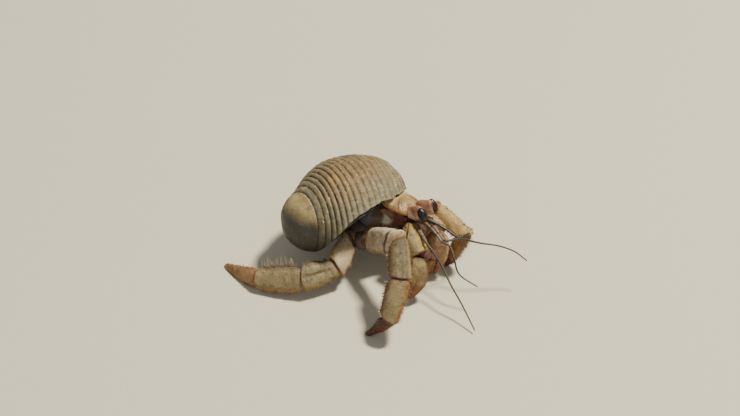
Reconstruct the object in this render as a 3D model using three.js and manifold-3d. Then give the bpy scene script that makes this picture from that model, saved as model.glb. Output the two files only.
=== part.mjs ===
// A land hermit crab walking in a ribbed sea-snail shell, life size, in millimetres.
// +X is where the crab is heading, +Y its left, +Z up. The feet stand on z = 0.
import * as THREE from "three";
import { mergeVertices } from "three/addons/utils/BufferGeometryUtils.js";
import Module from "manifold-3d";

const wasm = await Module();
wasm.setup();

// ---------------------------------------------------------------- driving dimensions

const JOINT_GAP = 0.26; // between two plates of one limb
const BODY_GAP = 0.24; // between pieces that are fitted round each other
const SHELL_GAP = 0.35; // between the shell and the body inside it

const SHELL = {
  centre: [-13.9, -6.3, 13.35], // on the coiling axis
  heading: -115.3, // of the apex, about +Z from +X
  elevation: 0.5, // of the apex
  roll: 47.4, // turn of the outer lip about the axis, from straight up
  lipAngle: 68, // where the coil ends, round the axis
  lipRadius: 14.4, // of the coil at its end
  growth: 1.79, // radius ratio over one turn
  apexReach: 11.96, // section length from the centre towards the apex
  foreReach: 16.35, // and away from it
  apexCurve: 2.1, // roundness of the section on each side
  foreCurve: 2.38,
  slip: 1.94, // travel along the axis in one turn
  domeCentre: [0.53, 0.49, 8.0], // of the worn spire
  domeRadius: 7.74,
  domeHeight: 7.45,
  mouthDistance: 5.21, // of the mouth's plane from the centre
  mouthTurn: 6.5, // of the mouth's normal round the axis
  mouthLean: -18.5, // of the mouth's normal along the axis
};

const POCKET = {
  outward: 4.6, // centre of the opening, towards the outer lip
  along: -3.6, // and towards the apex
  width: 8.2, // half sizes
  length: 10.6,
  depth: 6.5,
};

const EYE = {
  cornea: [1.05, 1.98, 1.35], // half sizes across, up and along the stalk
  outward: 0.75, // of the cornea's centre from the stalk's line
  forward: 0.3,
};
const FLAGELLUM = { root: 0.34, tip: 0.26 }; // radii
const SIDES = 10; // round a limb
const RINGS = 6; // along a limb plate

const COLOURS = {
  shell: 0x9c8c70,
  shield: 0xc4976a,
  flank: 0x5b3a2e,
  skin: 0x6b4a3a,
  eye: 0x0b0908,
  stalk: 0xb06a38,
  feeler: 0x2e2a20,
  merus: 0x8a6f58,
  carpus: 0xb0a07c,
  propodus: 0xb39a70,
  nearClaw: 0x9c6c46,
  bigClaw: 0xa07860,
  dactyl: 0x9a5228,
  darkDactyl: 0x6e2c1c,
};

// ---------------------------------------------------------------- solids

const V = (p) => new THREE.Vector3(...p);
const rad = THREE.MathUtils.degToRad;

// A closed solid from rings of points, each end closed by a fan.
function solidOfRings(rings) {
  const sides = rings[0].length;
  const points = rings.flat();
  const index = [];
  for (let i = 0; i + 1 < rings.length; i++) {
    for (let j = 0; j < sides; j++) {
      const a = i * sides + j;
      const b = i * sides + ((j + 1) % sides);
      index.push(a, b, b + sides, a, b + sides, a + sides);
    }
  }
  for (const [ring, flip] of [[0, true], [rings.length - 1, false]]) {
    const middle = points.length;
    const sum = new THREE.Vector3();
    rings[ring].forEach((p) => sum.add(p));
    points.push(sum.divideScalar(sides));
    for (let j = 0; j < sides; j++) {
      const a = ring * sides + j;
      const b = ring * sides + ((j + 1) % sides);
      index.push(...(flip ? [middle, b, a] : [middle, a, b]));
    }
  }
  return solidOfMesh(points, index);
}

// A manifold solid from points and triangles, turned the right way out.
function solidOfMesh(points, index) {
  const geometry = new THREE.BufferGeometry().setFromPoints(points);
  geometry.setIndex(index);
  const merged = mergeVertices(geometry, 1e-4);
  const make = (triVerts) =>
    new wasm.Manifold(
      new wasm.Mesh({
        numProp: 3,
        vertProperties: new Float32Array(merged.attributes.position.array),
        triVerts: new Uint32Array(triVerts),
      }),
    );
  const solid = make(merged.index.array);
  if (solid.volume() > 0) return solid;
  const turned = [];
  const old = merged.index.array;
  for (let i = 0; i < old.length; i += 3) turned.push(old[i], old[i + 2], old[i + 1]);
  return make(turned);
}

// The largest piece of a solid, so that no crumb is left over from a cut.
function largest(solid) {
  const parts = solid.decompose();
  return parts.reduce((a, b) => (b.volume() > a.volume() ? b : a));
}

// A value read along a list, from its first entry at 0 to its last at 1.
function along(list, t) {
  const x = THREE.MathUtils.clamp(t, 0, 1) * (list.length - 1);
  const i = Math.min(Math.floor(x), list.length - 2);
  const s = x - i;
  const e = s * s * (3 - 2 * s);
  const w = 0.5 * s + 0.5 * e;
  return list[i] * (1 - w) + list[i + 1] * w;
}

// A limb plate: rounded-box sections along a bowed line from one joint to the next.
// depth is measured along `up`, thick across it. A tapered end closes to a point.
function plate(part, grow = 0) {
  const a = V(part.from);
  const b = V(part.to);
  const axis = b.clone().sub(a);
  const length = axis.length();
  const dir = axis.clone().normalize();
  const up = V(part.up).projectOnPlane(dir).normalize();
  const bow = part.bow ?? 0;
  const sway = part.sway ?? 0;
  const side = dir.clone().cross(up);
  const place = (t) =>
    a.clone().addScaledVector(axis, t)
      .addScaledVector(up, bow * 4 * t * (1 - t))
      .addScaledVector(side, sway * 4 * t * (1 - t));
  const power = 2 / (part.square ?? 2.5);
  const start = -((part.startReach ?? 0) + grow) / length;
  const end = 1 + ((part.endReach ?? 0) + grow) / length;
  const count = part.rings ?? RINGS;
  const rings = [];
  for (let k = 0; k < count; k++) {
    const s = k / (count - 1);
    const t = start + (end - start) * (0.5 - 0.5 * Math.cos(Math.PI * s)) * 0.6
      + (end - start) * s * 0.4;
    const tangent = place(t + 0.01).sub(place(t - 0.01)).normalize();
    const upHere = up.clone().projectOnPlane(tangent).normalize();
    const sideHere = tangent.clone().cross(upHere);
    const ends = (k === 0 ? part.startRound ?? 0.72 : 1) * (k === count - 1 ? part.endRound ?? 0.72 : 1);
    const halfDepth = (along(part.depth, t) / 2 + grow) * ends;
    const halfThick = (along(part.thick, t) / 2 + grow) * ends;
    const centre = place(t);
    const ring = [];
    const sides = part.sides ?? SIDES;
    for (let j = 0; j < sides; j++) {
      const angle = (2 * Math.PI * (j + 0.5)) / sides;
      const c = Math.cos(angle);
      const q = Math.sin(angle);
      ring.push(
        centre.clone()
          .addScaledVector(upHere, Math.sign(c) * Math.abs(c) ** power * halfDepth)
          .addScaledVector(sideHere, Math.sign(q) * Math.abs(q) ** power * halfThick),
      );
    }
    rings.push(ring);
  }
  return solidOfRings(rings);
}

// A round feeler along a smooth curve through its points.
function feeler(points, rootRadius, tipRadius, steps) {
  const curve = new THREE.CatmullRomCurve3(points.map(V), false, "centripetal");
  const frames = curve.computeFrenetFrames(steps, false);
  const rings = [];
  for (let k = 0; k <= steps; k++) {
    const centre = curve.getPointAt(k / steps);
    const radius = THREE.MathUtils.lerp(rootRadius, tipRadius, k / steps);
    const ring = [];
    for (let j = 0; j < 6; j++) {
      const angle = (2 * Math.PI * j) / 6;
      ring.push(
        centre.clone()
          .addScaledVector(frames.normals[k], Math.cos(angle) * radius)
          .addScaledVector(frames.binormals[k], Math.sin(angle) * radius),
      );
    }
    rings.push(ring);
  }
  return solidOfRings(rings);
}

// An ellipsoid with half sizes along three directions.
function ellipsoid(centre, axes, halves, sides, rows) {
  const shape = new THREE.SphereGeometry(1, sides, rows);
  const frame = new THREE.Matrix4().makeBasis(
    axes[0].clone().multiplyScalar(halves[0]),
    axes[1].clone().multiplyScalar(halves[1]),
    axes[2].clone().multiplyScalar(halves[2]),
  );
  shape.applyMatrix4(frame.setPosition(centre));
  const points = [];
  for (let i = 0; i < shape.attributes.position.count; i++) {
    points.push(new THREE.Vector3().fromBufferAttribute(shape.attributes.position, i));
  }
  return solidOfMesh(points, Array.from(shape.index.array));
}

// ---------------------------------------------------------------- shell

const apexDir = new THREE.Vector3(
  Math.cos(rad(SHELL.heading)) * Math.cos(rad(SHELL.elevation)),
  Math.sin(rad(SHELL.heading)) * Math.cos(rad(SHELL.elevation)),
  Math.sin(rad(SHELL.elevation)),
);
const shellUp = new THREE.Vector3(0, 0, 1).projectOnPlane(apexDir).normalize();
const shellSide = shellUp.clone().cross(apexDir);
const lipDir = shellUp.clone().multiplyScalar(Math.cos(rad(SHELL.roll)))
  .addScaledVector(shellSide, Math.sin(rad(SHELL.roll)));
const frontDir = lipDir.clone().cross(apexDir);
const shellCentre = V(SHELL.centre);
const mouthNormal = frontDir.clone().multiplyScalar(Math.cos(rad(SHELL.mouthTurn)))
  .addScaledVector(lipDir, Math.sin(rad(SHELL.mouthTurn)))
  .multiplyScalar(Math.cos(rad(SHELL.mouthLean)))
  .addScaledVector(apexDir, Math.sin(rad(SHELL.mouthLean)));
const mouthOut = lipDir.clone().projectOnPlane(mouthNormal).normalize();
const mouthAlong = mouthNormal.clone().cross(mouthOut).multiplyScalar(-1);
if (mouthAlong.dot(apexDir) < 0) mouthAlong.multiplyScalar(-1);

const shellPoint = (x, y, z) =>
  shellCentre.clone()
    .addScaledVector(frontDir, x)
    .addScaledVector(lipDir, y)
    .addScaledVector(apexDir, z);

// One turn of the coil as a body round the axis: the radius shrinks by the growth ratio
// over the turn, so the turn starts and ends in a step, which the mouth cuts away.
function coil(grow) {
  const turns = 34;
  const rows = 15;
  const first = rad(5);
  const points = [];
  const index = [];
  for (let i = 0; i <= turns; i++) {
    const angle = first + (2 * Math.PI * i) / turns;
    const turned = (angle - rad(SHELL.lipAngle)) / (2 * Math.PI);
    const radius = SHELL.lipRadius * SHELL.growth ** -turned;
    for (let k = 1; k < rows; k++) {
      const v = -Math.cos((Math.PI * k) / rows);
      const reach = v > 0 ? SHELL.apexReach : SHELL.foreReach;
      const power = v > 0 ? SHELL.apexCurve : SHELL.foreCurve;
      const rho = (radius + grow) * Math.sqrt(1 - Math.abs(v) ** power);
      const z = (reach + grow) * v - SHELL.slip * turned * (1 - v ** 6);
      points.push(shellPoint(rho * Math.cos(angle), rho * Math.sin(angle), z));
    }
  }
  const per = rows - 1;
  const fore = points.push(shellPoint(0, 0, -SHELL.foreReach - grow)) - 1;
  const apex = points.push(shellPoint(0, 0, SHELL.apexReach + grow)) - 1;
  for (let i = 0; i <= turns; i++) {
    const next = i === turns ? 0 : i + 1;
    const a = i * per;
    const b = next * per;
    for (let k = 0; k + 1 < per; k++) {
      index.push(a + k, b + k, b + k + 1, a + k, b + k + 1, a + k + 1);
    }
    index.push(fore, b, a);
    index.push(apex, a + per - 1, b + per - 1);
  }
  return solidOfMesh(points, index);
}

// The whole shell: coil and worn dome, cut off flat at the mouth and hollowed for the body.
// grow makes it that much larger, for fitting the body inside it.
function shellSolid(grow) {
  const dome = ellipsoid(
    shellPoint(...SHELL.domeCentre),
    [frontDir, lipDir, apexDir],
    [SHELL.domeRadius + grow, SHELL.domeRadius + grow, SHELL.domeHeight + grow],
    22,
    12,
  );
  const pocket = ellipsoid(
    shellCentre.clone()
      .addScaledVector(mouthNormal, SHELL.mouthDistance)
      .addScaledVector(mouthOut, POCKET.outward)
      .addScaledVector(mouthAlong, POCKET.along),
    [mouthNormal, mouthOut, mouthAlong],
    [POCKET.depth - grow, POCKET.width - grow, POCKET.length - grow],
    16,
    8,
  );
  const cut = mouthNormal.dot(shellCentre) + SHELL.mouthDistance + grow;
  const away = mouthNormal.clone().negate();
  const whole = coil(grow).add(dome).trimByPlane(away.toArray(), -cut);
  return largest(whole.subtract(pocket));
}

// ---------------------------------------------------------------- limbs

// Joints from the body outwards, one more than there are plates.
// up is the way a plate's depth runs.
const LIMBS = [
  {
    name: "leg2_right",
    joints: [
      [0.3, -3.3, 9.4], [-2.4, -8.9, 11.3], [7.7, -11.0, 17.9],
      [13.7, -17.7, 14.0], [15.9, -24.5, 7.3], [10.1, -25.6, 0],
    ],
    plates: [
      { id: "ischium", up: [0, 0, 1], depth: [3.4, 4.0, 4.2], thick: [2.6, 2.8, 3.0] },
      {
        id: "merus", up: [-0.41, 0.49, 0.77], depth: [5.6, 6.1, 6.1, 5.8, 5.0],
        thick: [3.0, 3.4, 3.4, 3.2],
      },
      { id: "carpus", up: [0.77, 0.64, 0], depth: [4.0, 4.9, 5.2, 4.9], thick: [2.9, 3.2, 3.2] },
      { id: "propodus", up: [0.77, 0.64, 0], depth: [4.7, 5.3, 5.0, 4.3], thick: [2.9, 3.0, 2.8, 2.5] },
      {
        id: "dactyl", up: [0.77, 0.64, 0], depth: [3.9, 3.5, 2.8, 1.9, 0.9],
        thick: [2.4, 2.3, 1.9, 1.3, 0.8], bow: 0.5, tip: true, dark: true,
      },
    ],
  },
  {
    name: "leg3_right",
    joints: [
      [-2.9, -3.6, 8.4], [-8.7, -9.4, 8.7], [-6.3, -17.3, 6.2],
      [-10.6, -24.4, 5.0], [-20.4, -29.5, 3.2], [-31.6, -28.7, 0],
    ],
    plates: [
      { id: "ischium", up: [0, 0, 1], depth: [3.4, 3.9, 4.1], thick: [2.6, 3.0, 3.2] },
      { id: "merus", up: [-0.55, 0.2, 0.8], depth: [4.2, 5.4, 5.8, 4.9], thick: [3.0, 3.5, 3.4] },
      { id: "carpus", up: [-0.41, 0.49, 0.77], depth: [4.2, 5.2, 6.0, 5.6], thick: [2.9, 3.1, 3.2] },
      {
        id: "propodus", up: [-0.35, 0.42, 0.83], depth: [5.5, 6.0, 5.9, 4.9],
        thick: [3.0, 3.2, 3.0, 2.6], bow: -0.35,
      },
      {
        id: "dactyl", up: [-0.35, 0.42, 0.83], depth: [4.5, 4.1, 3.5, 2.7, 1.5],
        thick: [2.5, 2.3, 2.0, 1.5, 0.8], bow: -0.3, tip: true,
      },
    ],
  },
  {
    name: "leg2_left",
    joints: [
      [1.0, 4.4, 9.6], [-1.6, 6.3, 9.9], [4.3, 7.5, 13.7],
      [13.4, 6.7, 11.6], [10.9, 5.3, 4.4], [8.0, 5.5, 0],
    ],
    plates: [
      { id: "ischium", up: [0, 0, 1], depth: [3.2, 3.6, 3.8], thick: [2.4, 2.6, 2.8] },
      { id: "merus", up: [-0.41, 0.49, 0.77], depth: [4.0, 4.7, 4.9, 4.4], thick: [2.8, 3.1, 3.0] },
      { id: "carpus", up: [-0.41, 0.49, 0.77], depth: [3.6, 4.0, 4.1, 3.7], thick: [2.6, 2.8, 2.7] },
      { id: "propodus", up: [0.77, 0.64, 0], depth: [3.0, 3.0, 2.8, 2.4], thick: [3.2, 3.4, 3.2, 2.7] },
      {
        id: "dactyl", up: [0.77, 0.64, 0], depth: [2.2, 2.1, 1.9, 1.5, 0.9],
        thick: [2.5, 2.3, 2.0, 1.4, 0.8], bow: 0.3, tip: true, dark: true, rings: 5,
      },
    ],
  },
  {
    name: "leg3_left",
    joints: [
      [-2.7, 3.7, 8.0], [-3.8, 6.4, 6.7], [-6.0, 11.7, 4.8],
      [-14.3, 14.1, 4.6], [-22.4, 17.3, 3.3], [-31.3, 15.0, 0],
    ],
    plates: [
      { id: "ischium", up: [0, 0, 1], depth: [3.2, 3.5, 3.6], thick: [2.4, 2.6, 2.7] },
      { id: "merus", up: [0, 0, 1], depth: [3.7, 4.4, 4.5, 4.1], thick: [2.7, 3.0, 2.9] },
      { id: "carpus", up: [0, 0, 1], depth: [4.0, 4.6, 4.9, 4.6], thick: [2.7, 2.9, 2.9] },
      { id: "propodus", up: [0, 0, 1], depth: [4.6, 5.0, 4.8, 4.1], thick: [2.8, 2.9, 2.8, 2.4] },
      {
        id: "dactyl", up: [0, 0, 1], depth: [3.8, 3.5, 2.9, 2.1, 0.9],
        thick: [2.3, 2.2, 1.9, 1.4, 0.8], bow: 0.4, tip: true,
      },
    ],
  },
  {
    name: "claw_right",
    joints: [[2.9, -2.9, 9.6], [3.2, -5.2, 10.6], [5.0, -3.6, 14.2], [9.5, -5.3, 11.1]],
    plates: [
      { id: "ischium", up: [0, 0, 1], depth: [2.6, 3.0], thick: [2.4, 2.8] },
      { id: "merus", up: [1, 0, 0], depth: [3.0, 3.8, 4.0], thick: [2.6, 3.0, 3.0] },
      { id: "carpus", up: [0.5, 0.45, 0.74], depth: [3.5, 4.4, 4.2], thick: [3.0, 3.6, 3.4] },
    ],
  },
  {
    name: "claw_left",
    joints: [[3.0, 2.9, 9.6], [2.4, 4.9, 10.0], [4.4, 4.3, 12.7], [8.4, 2.4, 12.3]],
    plates: [
      { id: "ischium", up: [0, 0, 1], depth: [2.8, 3.2], thick: [2.6, 3.0] },
      { id: "merus", up: [1, 0, 0], depth: [3.2, 4.2, 4.4], thick: [2.8, 3.2, 3.4] },
      { id: "carpus", up: [0.5, 0.45, 0.74], depth: [3.8, 5.0, 4.9], thick: [3.4, 4.2, 4.2] },
    ],
  },
];

// Both hands: the palm with its fixed finger, and the finger that closes on it.
const HANDS = [
  {
    name: "claw_right",
    palm: {
      from: [9.7, -5.8, 10.6], to: [11.0, -11.3, 2.3], up: [0.77, 0.64, 0],
      depth: [3.6, 4.4, 4.7, 4.5, 3.2, 1.2], thick: [2.6, 3.3, 3.3, 2.6, 1.6, 0.8],
      bow: 0.8, startReach: 0, endRound: 0.6, rings: 9,
    },
    finger: {
      from: [10.1, -9.3, 6.7], to: [10.1, -11.5, 2.4], up: [0.77, 0.64, 0],
      depth: [1.7, 1.8, 1.4, 0.8], thick: [1.7, 1.6, 1.2, 0.7], bow: -0.45, endRound: 0.6,
    },
    colour: "nearClaw",
  },
  {
    name: "claw_left",
    palm: {
      from: [8.9, 1.9, 12.9], to: [9.2, 0.0, 1.6], up: [0.77, 0.64, 0],
      depth: [4.0, 5.1, 5.3, 4.8, 3.5, 1.3], thick: [3.0, 4.0, 4.0, 3.2, 2.0, 0.9],
      bow: 0.5, startReach: 0, endRound: 0.6, rings: 8,
    },
    finger: {
      from: [9.1, -0.6, 6.6], to: [8.5, -0.6, 1.7], up: [0.77, 0.64, 0],
      depth: [2.1, 2.3, 1.7, 0.9], thick: [2.1, 2.1, 1.5, 0.8], bow: -0.5, endRound: 0.6,
    },
    colour: "bigClaw",
  },
];

// Every plate of a limb, cut at each joint along the plane that halves the bend.
function limb(spec) {
  const joints = spec.joints.map(V);
  const dirs = joints.slice(1).map((p, i) => p.clone().sub(joints[i]).normalize());
  return spec.plates.map((p, i) => {
    const widest = Math.max(...p.depth, ...p.thick) / 2;
    const bend = (k) =>
      k < 0 || k + 1 >= dirs.length ? 0 : Math.tan(dirs[k].angleTo(dirs[k + 1]) / 2);
    const part = {
      ...p,
      from: spec.joints[i],
      to: spec.joints[i + 1],
      startReach: i === 0 ? 0 : widest * Math.min(bend(i - 1), 1) + 0.3,
      endReach: p.tip ? 0.35 : widest * Math.min(bend(i), 1) + (i + 1 < dirs.length ? 0.3 : 0),
      endRound: p.tip ? 0.8 : 0.72,
    };
    let solid = plate(part);
    if (i > 0) {
      const n = dirs[i - 1].clone().add(dirs[i]).normalize();
      solid = solid.trimByPlane(n.toArray(), n.dot(joints[i]) + JOINT_GAP / 2);
    }
    if (i + 1 < dirs.length) {
      const n = dirs[i].clone().add(dirs[i + 1]).normalize().negate();
      solid = solid.trimByPlane(n.toArray(), n.dot(joints[i + 1]) + JOINT_GAP / 2);
    }
    if (p.tip) solid = solid.trimByPlane([0, 0, 1], 0);
    return { name: `${spec.name}_${p.id}`, plate: p, solid: largest(solid), room: plate(part, BODY_GAP) };
  });
}

// ---------------------------------------------------------------- body and head

// The body's own frame: its origin at the rostrum, x forward along the shield.
const BODY = { rostrum: [3.8, 0.8, 18.2], yaw: 8.3, pitch: 5 };
const bodyTurn = new THREE.Euler(0, rad(BODY.pitch), rad(BODY.yaw), "ZYX");
const bodyPoint = (x, y, z) =>
  new THREE.Vector3(x, y, z).applyEuler(bodyTurn).add(V(BODY.rostrum)).toArray();
const bodyUp = new THREE.Vector3(0, 0, 1).applyEuler(bodyTurn).toArray();

const shield = {
  from: bodyPoint(-8.6, 0, -1.5), to: bodyPoint(0.3, 0, -0.7), up: bodyUp, bow: 0.35,
  depth: [2.4, 2.8, 2.7, 2.2, 1.1], thick: [5.8, 7.3, 7.4, 6.4, 2.2],
  square: 2.2, endRound: 0.8, rings: 7, sides: 14,
};
const flanks = [-1, 1].map((s) => ({
  from: bodyPoint(-8.4, s * 2.75, -3.9), to: bodyPoint(-1.0, s * 2.5, -3.2), up: bodyUp,
  depth: [3.2, 3.8, 3.8, 2.6], thick: [1.5, 1.9, 1.9, 1.3], square: 2.2,
}));
const thorax = {
  from: bodyPoint(-13.6, -1.6, -6.6), to: bodyPoint(-1.3, 0, -5.3), up: bodyUp,
  depth: [5.6, 7.2, 7.4, 7.4, 5.4], thick: [7.4, 9.0, 8.4, 7.8, 5.2], square: 2.3,
};
const eyes = [
  { name: "right", from: [2.4, -1.1, 17.4], to: [6.45, -0.4, 18.95] },
  { name: "left", from: [2.5, 2.2, 17.5], to: [5.95, 2.85, 18.45] },
].map((e) => ({
  ...e,
  up: [-0.25, 0, 1],
  depth: [2.6, 3.5, 3.9, 3.9],
  thick: [1.9, 2.2, 2.3, 2.2],
  rings: 5,
  square: 2.1,
  endRound: 0.8,
}));
const mouthparts = [
  { name: "right", from: [3.9, -0.9, 14.0], to: [6.0, -0.9, 8.6], bow: 1.1 },
  { name: "left", from: [3.9, 1.5, 14.0], to: [6.0, 1.0, 8.6], bow: 1.1 },
].map((m) => ({
  ...m,
  up: [1, 0, 0.35],
  depth: [2.2, 2.3, 1.9, 1.3],
  thick: [1.7, 1.8, 1.5, 1.1],
}));
const peduncles = [
  { name: "right", from: [4.9, -1.5, 15.6], to: [10.4, -4.1, 14.6] },
  { name: "left", from: [5.6, 2.1, 15.6], to: [12.6, -0.2, 13.8] },
].map((m) => ({
  ...m,
  up: [0, 0, 1],
  depth: [1.5, 1.1, 0.8],
  thick: [1.5, 1.1, 0.8],
  sides: 8,
  rings: 5,
}));
const antennuleStems = [
  { name: "right", from: [6.1, 0.0, 16.1], to: [12.9, -1.3, 14.3], bow: 0.5 },
  { name: "left", from: [6.4, 1.2, 16.2], to: [13.7, 3.1, 13.5], bow: 0.35 },
].map((m) => ({
  ...m,
  up: [0, 0, 1],
  depth: [0.9, 0.7, 0.6],
  thick: [0.9, 0.7, 0.6],
  sides: 8,
  rings: 6,
}));
const antennuleTips = {
  right: [
    [13.3, -1.2, 14.25], [14.9, -0.8, 13.7], [17.1, -1.9, 12.0],
    [19.5, -2.9, 9.0], [24.5, -1.9, 7.0],
  ],
  left: [[14.1, 3.3, 13.45], [15.0, 4.5, 13.6], [15.9, 5.7, 14.1]],
};
const flagella = {
  right: [
    [10.9, -4.2, 14.3], [12.4, -4.4, 13.5], [16.3, -5.0, 10.5],
    [19.8, -6.3, 8.0], [23.6, -7.1, 5.0], [29.5, -9.1, 1.0],
  ],
  left: [
    [13.1, -0.1, 13.8], [15.0, 2.3, 14.0], [19.8, 4.5, 13.9],
    [23.3, 7.4, 13.0], [26.1, 10.0, 11.0], [28.9, 11.1, 9.0],
  ],
};
const smallLegs = [
  { name: "right", from: [-5.0, -3.9, 11.4], to: [-5.2, -8.6, 10.2], bow: 0.5 },
  { name: "left", from: [-3.6, 4.6, 10.6], to: [-5.4, 8.3, 9.2], bow: 0.4 },
].map((m) => ({
  ...m,
  up: [0, 0, 1],
  depth: [2.0, 2.2, 1.9, 1.2],
  thick: [1.7, 1.9, 1.6, 1.0],
  sides: 8,
}));

// ---------------------------------------------------------------- the scene

const crab = new THREE.Group();

function addMesh(name, solid, colour, roughness) {
  const mesh = solid.getMesh();
  const geometry = new THREE.BufferGeometry();
  geometry.setAttribute("position", new THREE.BufferAttribute(mesh.vertProperties, 3));
  geometry.setIndex(new THREE.BufferAttribute(mesh.triVerts, 1));
  const look = new THREE.MeshStandardMaterial({ color: colour, roughness, metalness: 0 });
  const made = new THREE.Mesh(geometry, look);
  made.name = name;
  crab.add(made);
}

// What is in place already, a little enlarged, for fitting the next piece round it.
const grown = [];
const isNear = (a, b) => {
  const p = a.boundingBox();
  const q = b.boundingBox();
  return [0, 1, 2].every((k) => p.min[k] < q.max[k] && q.min[k] < p.max[k]);
};
function fitted(solid) {
  let left = solid;
  for (const other of grown) {
    if (isNear(left, other)) left = left.subtract(other);
  }
  return largest(left);
}
function place(name, part, colour, roughness) {
  addMesh(name, fitted(plate(part)), colour, roughness);
  grown.push(plate(part, BODY_GAP));
}

addMesh("shell", shellSolid(0), COLOURS.shell, 0.75);
grown.push(shellSolid(SHELL_GAP));

place("shield", shield, COLOURS.shield, 0.45);
for (const eye of eyes) {
  const axis = V(eye.to).sub(V(eye.from)).normalize();
  const up = V(eye.up).projectOnPlane(axis).normalize();
  const side = axis.clone().cross(up);
  const centre = V(eye.to).addScaledVector(axis, EYE.forward)
    .addScaledVector(side, eye.name === "right" ? EYE.outward : -EYE.outward);
  const cornea = (grow) =>
    ellipsoid(centre, [side, up, axis], EYE.cornea.map((half) => half + grow), 10, 6);
  addMesh(`cornea_${eye.name}`, cornea(0), COLOURS.eye, 0.12);
  grown.push(cornea(BODY_GAP));
  place(`eyestalk_${eye.name}`, eye, COLOURS.stalk, 0.4);
}
for (const hand of HANDS) {
  place(`${hand.name}_finger`, hand.finger, COLOURS[hand.colour], 0.4);
  place(`${hand.name}_palm`, hand.palm, COLOURS[hand.colour], 0.4);
}
for (const spec of LIMBS) {
  const made = limb(spec);
  for (const { name, plate: p, solid } of made) {
    const colour = COLOURS[p.dark ? "darkDactyl" : p.id === "ischium" ? "merus" : p.id];
    addMesh(name, fitted(solid), colour, 0.45);
  }
  made.forEach(({ room }) => grown.push(room));
}
mouthparts.forEach((m) => place(`maxilliped_${m.name}`, m, COLOURS.skin, 0.5));
antennuleStems.forEach((m) => place(`antennule_stem_${m.name}`, m, COLOURS.feeler, 0.5));
peduncles.forEach((m) => place(`antenna_base_${m.name}`, m, COLOURS.feeler, 0.5));
for (const side of ["right", "left"]) {
  const tip = feeler(antennuleTips[side], FLAGELLUM.root, FLAGELLUM.tip, side === "right" ? 8 : 4);
  addMesh(`antennule_tip_${side}`, fitted(tip), COLOURS.feeler, 0.5);
  const whip = feeler(flagella[side], FLAGELLUM.root, FLAGELLUM.tip, 11);
  addMesh(`antenna_whip_${side}`, fitted(whip), COLOURS.feeler, 0.5);
}
flanks.forEach((f, i) => place(`flank_${i ? "left" : "right"}`, f, COLOURS.flank, 0.5));
smallLegs.forEach((m) => place(`leg4_${m.name}`, m, COLOURS.carpus, 0.5));
place("thorax", thorax, COLOURS.skin, 0.6);

// The soft abdomen, filling the shell's mouth behind the thorax.
const root = ellipsoid(
  shellCentre.clone()
    .addScaledVector(mouthNormal, SHELL.mouthDistance + 0.4)
    .addScaledVector(mouthOut, POCKET.outward)
    .addScaledVector(mouthAlong, POCKET.along),
  [mouthNormal, mouthOut, mouthAlong],
  [POCKET.depth - 1.0, POCKET.width - 1.1, POCKET.length - 1.3],
  12,
  7,
);
const rootCut = mouthNormal.dot(shellCentre) + SHELL.mouthDistance - 0.6;
const trimmedRoot = root.trimByPlane(mouthNormal.clone().negate().toArray(), -rootCut);
addMesh("abdomen", fitted(trimmedRoot), COLOURS.skin, 0.6);

// The group is set so that the model's box is centred on the origin.
const box = new THREE.Box3().setFromObject(crab);
const middle = box.getCenter(new THREE.Vector3());
crab.position.set(-middle.x, -middle.y, 0);

const hermitCrab = new THREE.Group();
hermitCrab.add(crab);

export default hermitCrab;
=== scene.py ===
import bpy
import numpy as np
from collections import namedtuple
from mathutils import Matrix


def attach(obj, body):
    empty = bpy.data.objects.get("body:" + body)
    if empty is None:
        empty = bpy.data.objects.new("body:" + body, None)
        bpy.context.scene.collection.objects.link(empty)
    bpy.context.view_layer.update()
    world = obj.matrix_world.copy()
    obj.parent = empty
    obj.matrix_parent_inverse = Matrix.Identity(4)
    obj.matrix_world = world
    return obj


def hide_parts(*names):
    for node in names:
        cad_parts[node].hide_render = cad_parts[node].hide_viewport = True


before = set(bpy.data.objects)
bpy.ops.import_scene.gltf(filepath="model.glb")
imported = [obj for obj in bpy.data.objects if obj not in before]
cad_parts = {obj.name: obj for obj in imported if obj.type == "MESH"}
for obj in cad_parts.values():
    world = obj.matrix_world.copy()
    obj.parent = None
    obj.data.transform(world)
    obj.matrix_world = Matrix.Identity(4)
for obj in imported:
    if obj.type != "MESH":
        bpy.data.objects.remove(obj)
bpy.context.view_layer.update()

# ------------------------------------------------------------------ camera, light and floor
# A long lens from the crab's right front, 40 degrees up, a warm soft box high over the crab, a
# wide one beside the camera, and a plain pale floor. The crab's own lengths are in millimetres
# from the floor under its head shield; scene() turns them into scene metres.
HOME = np.array([1.1907, 6.3172, 0.0])
VIEW_TURN, VIEW_RISE = np.radians([40, 40])
AIM_RIGHT, AIM_UP, CAMERA_AWAY = -7.92, 12.96, 986.7
FLOOR_HALF, FLOOR_LINES = 3000, 13


def scene(points):
    """Crab millimetres moved by HOME, so that the model's box is centred, and made metres."""
    return (np.asarray(points, float) + HOME) / 1000


def link(thing):
    bpy.context.collection.objects.link(thing)
    return thing


to_right = np.array([np.cos(VIEW_TURN), np.sin(VIEW_TURN), 0])
level_back = np.array([np.sin(VIEW_TURN), -np.cos(VIEW_TURN), 0])
to_back = level_back * np.cos(VIEW_RISE) + np.array([0, 0, np.sin(VIEW_RISE)])
to_top = np.cross(to_back, to_right)
eye = scene(AIM_RIGHT * to_right + AIM_UP * to_top + CAMERA_AWAY * to_back)
lens = bpy.data.cameras.new("camera")
lens.lens = 200
lens.sensor_width = 36
lens.clip_start = 0.02
lens.clip_end = 20
camera = link(bpy.data.objects.new("camera", lens))
camera.matrix_world = Matrix(np.vstack([np.c_[to_right, to_top, to_back, eye], [0, 0, 0, 1]]).tolist())
bpy.context.scene.camera = camera


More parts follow.
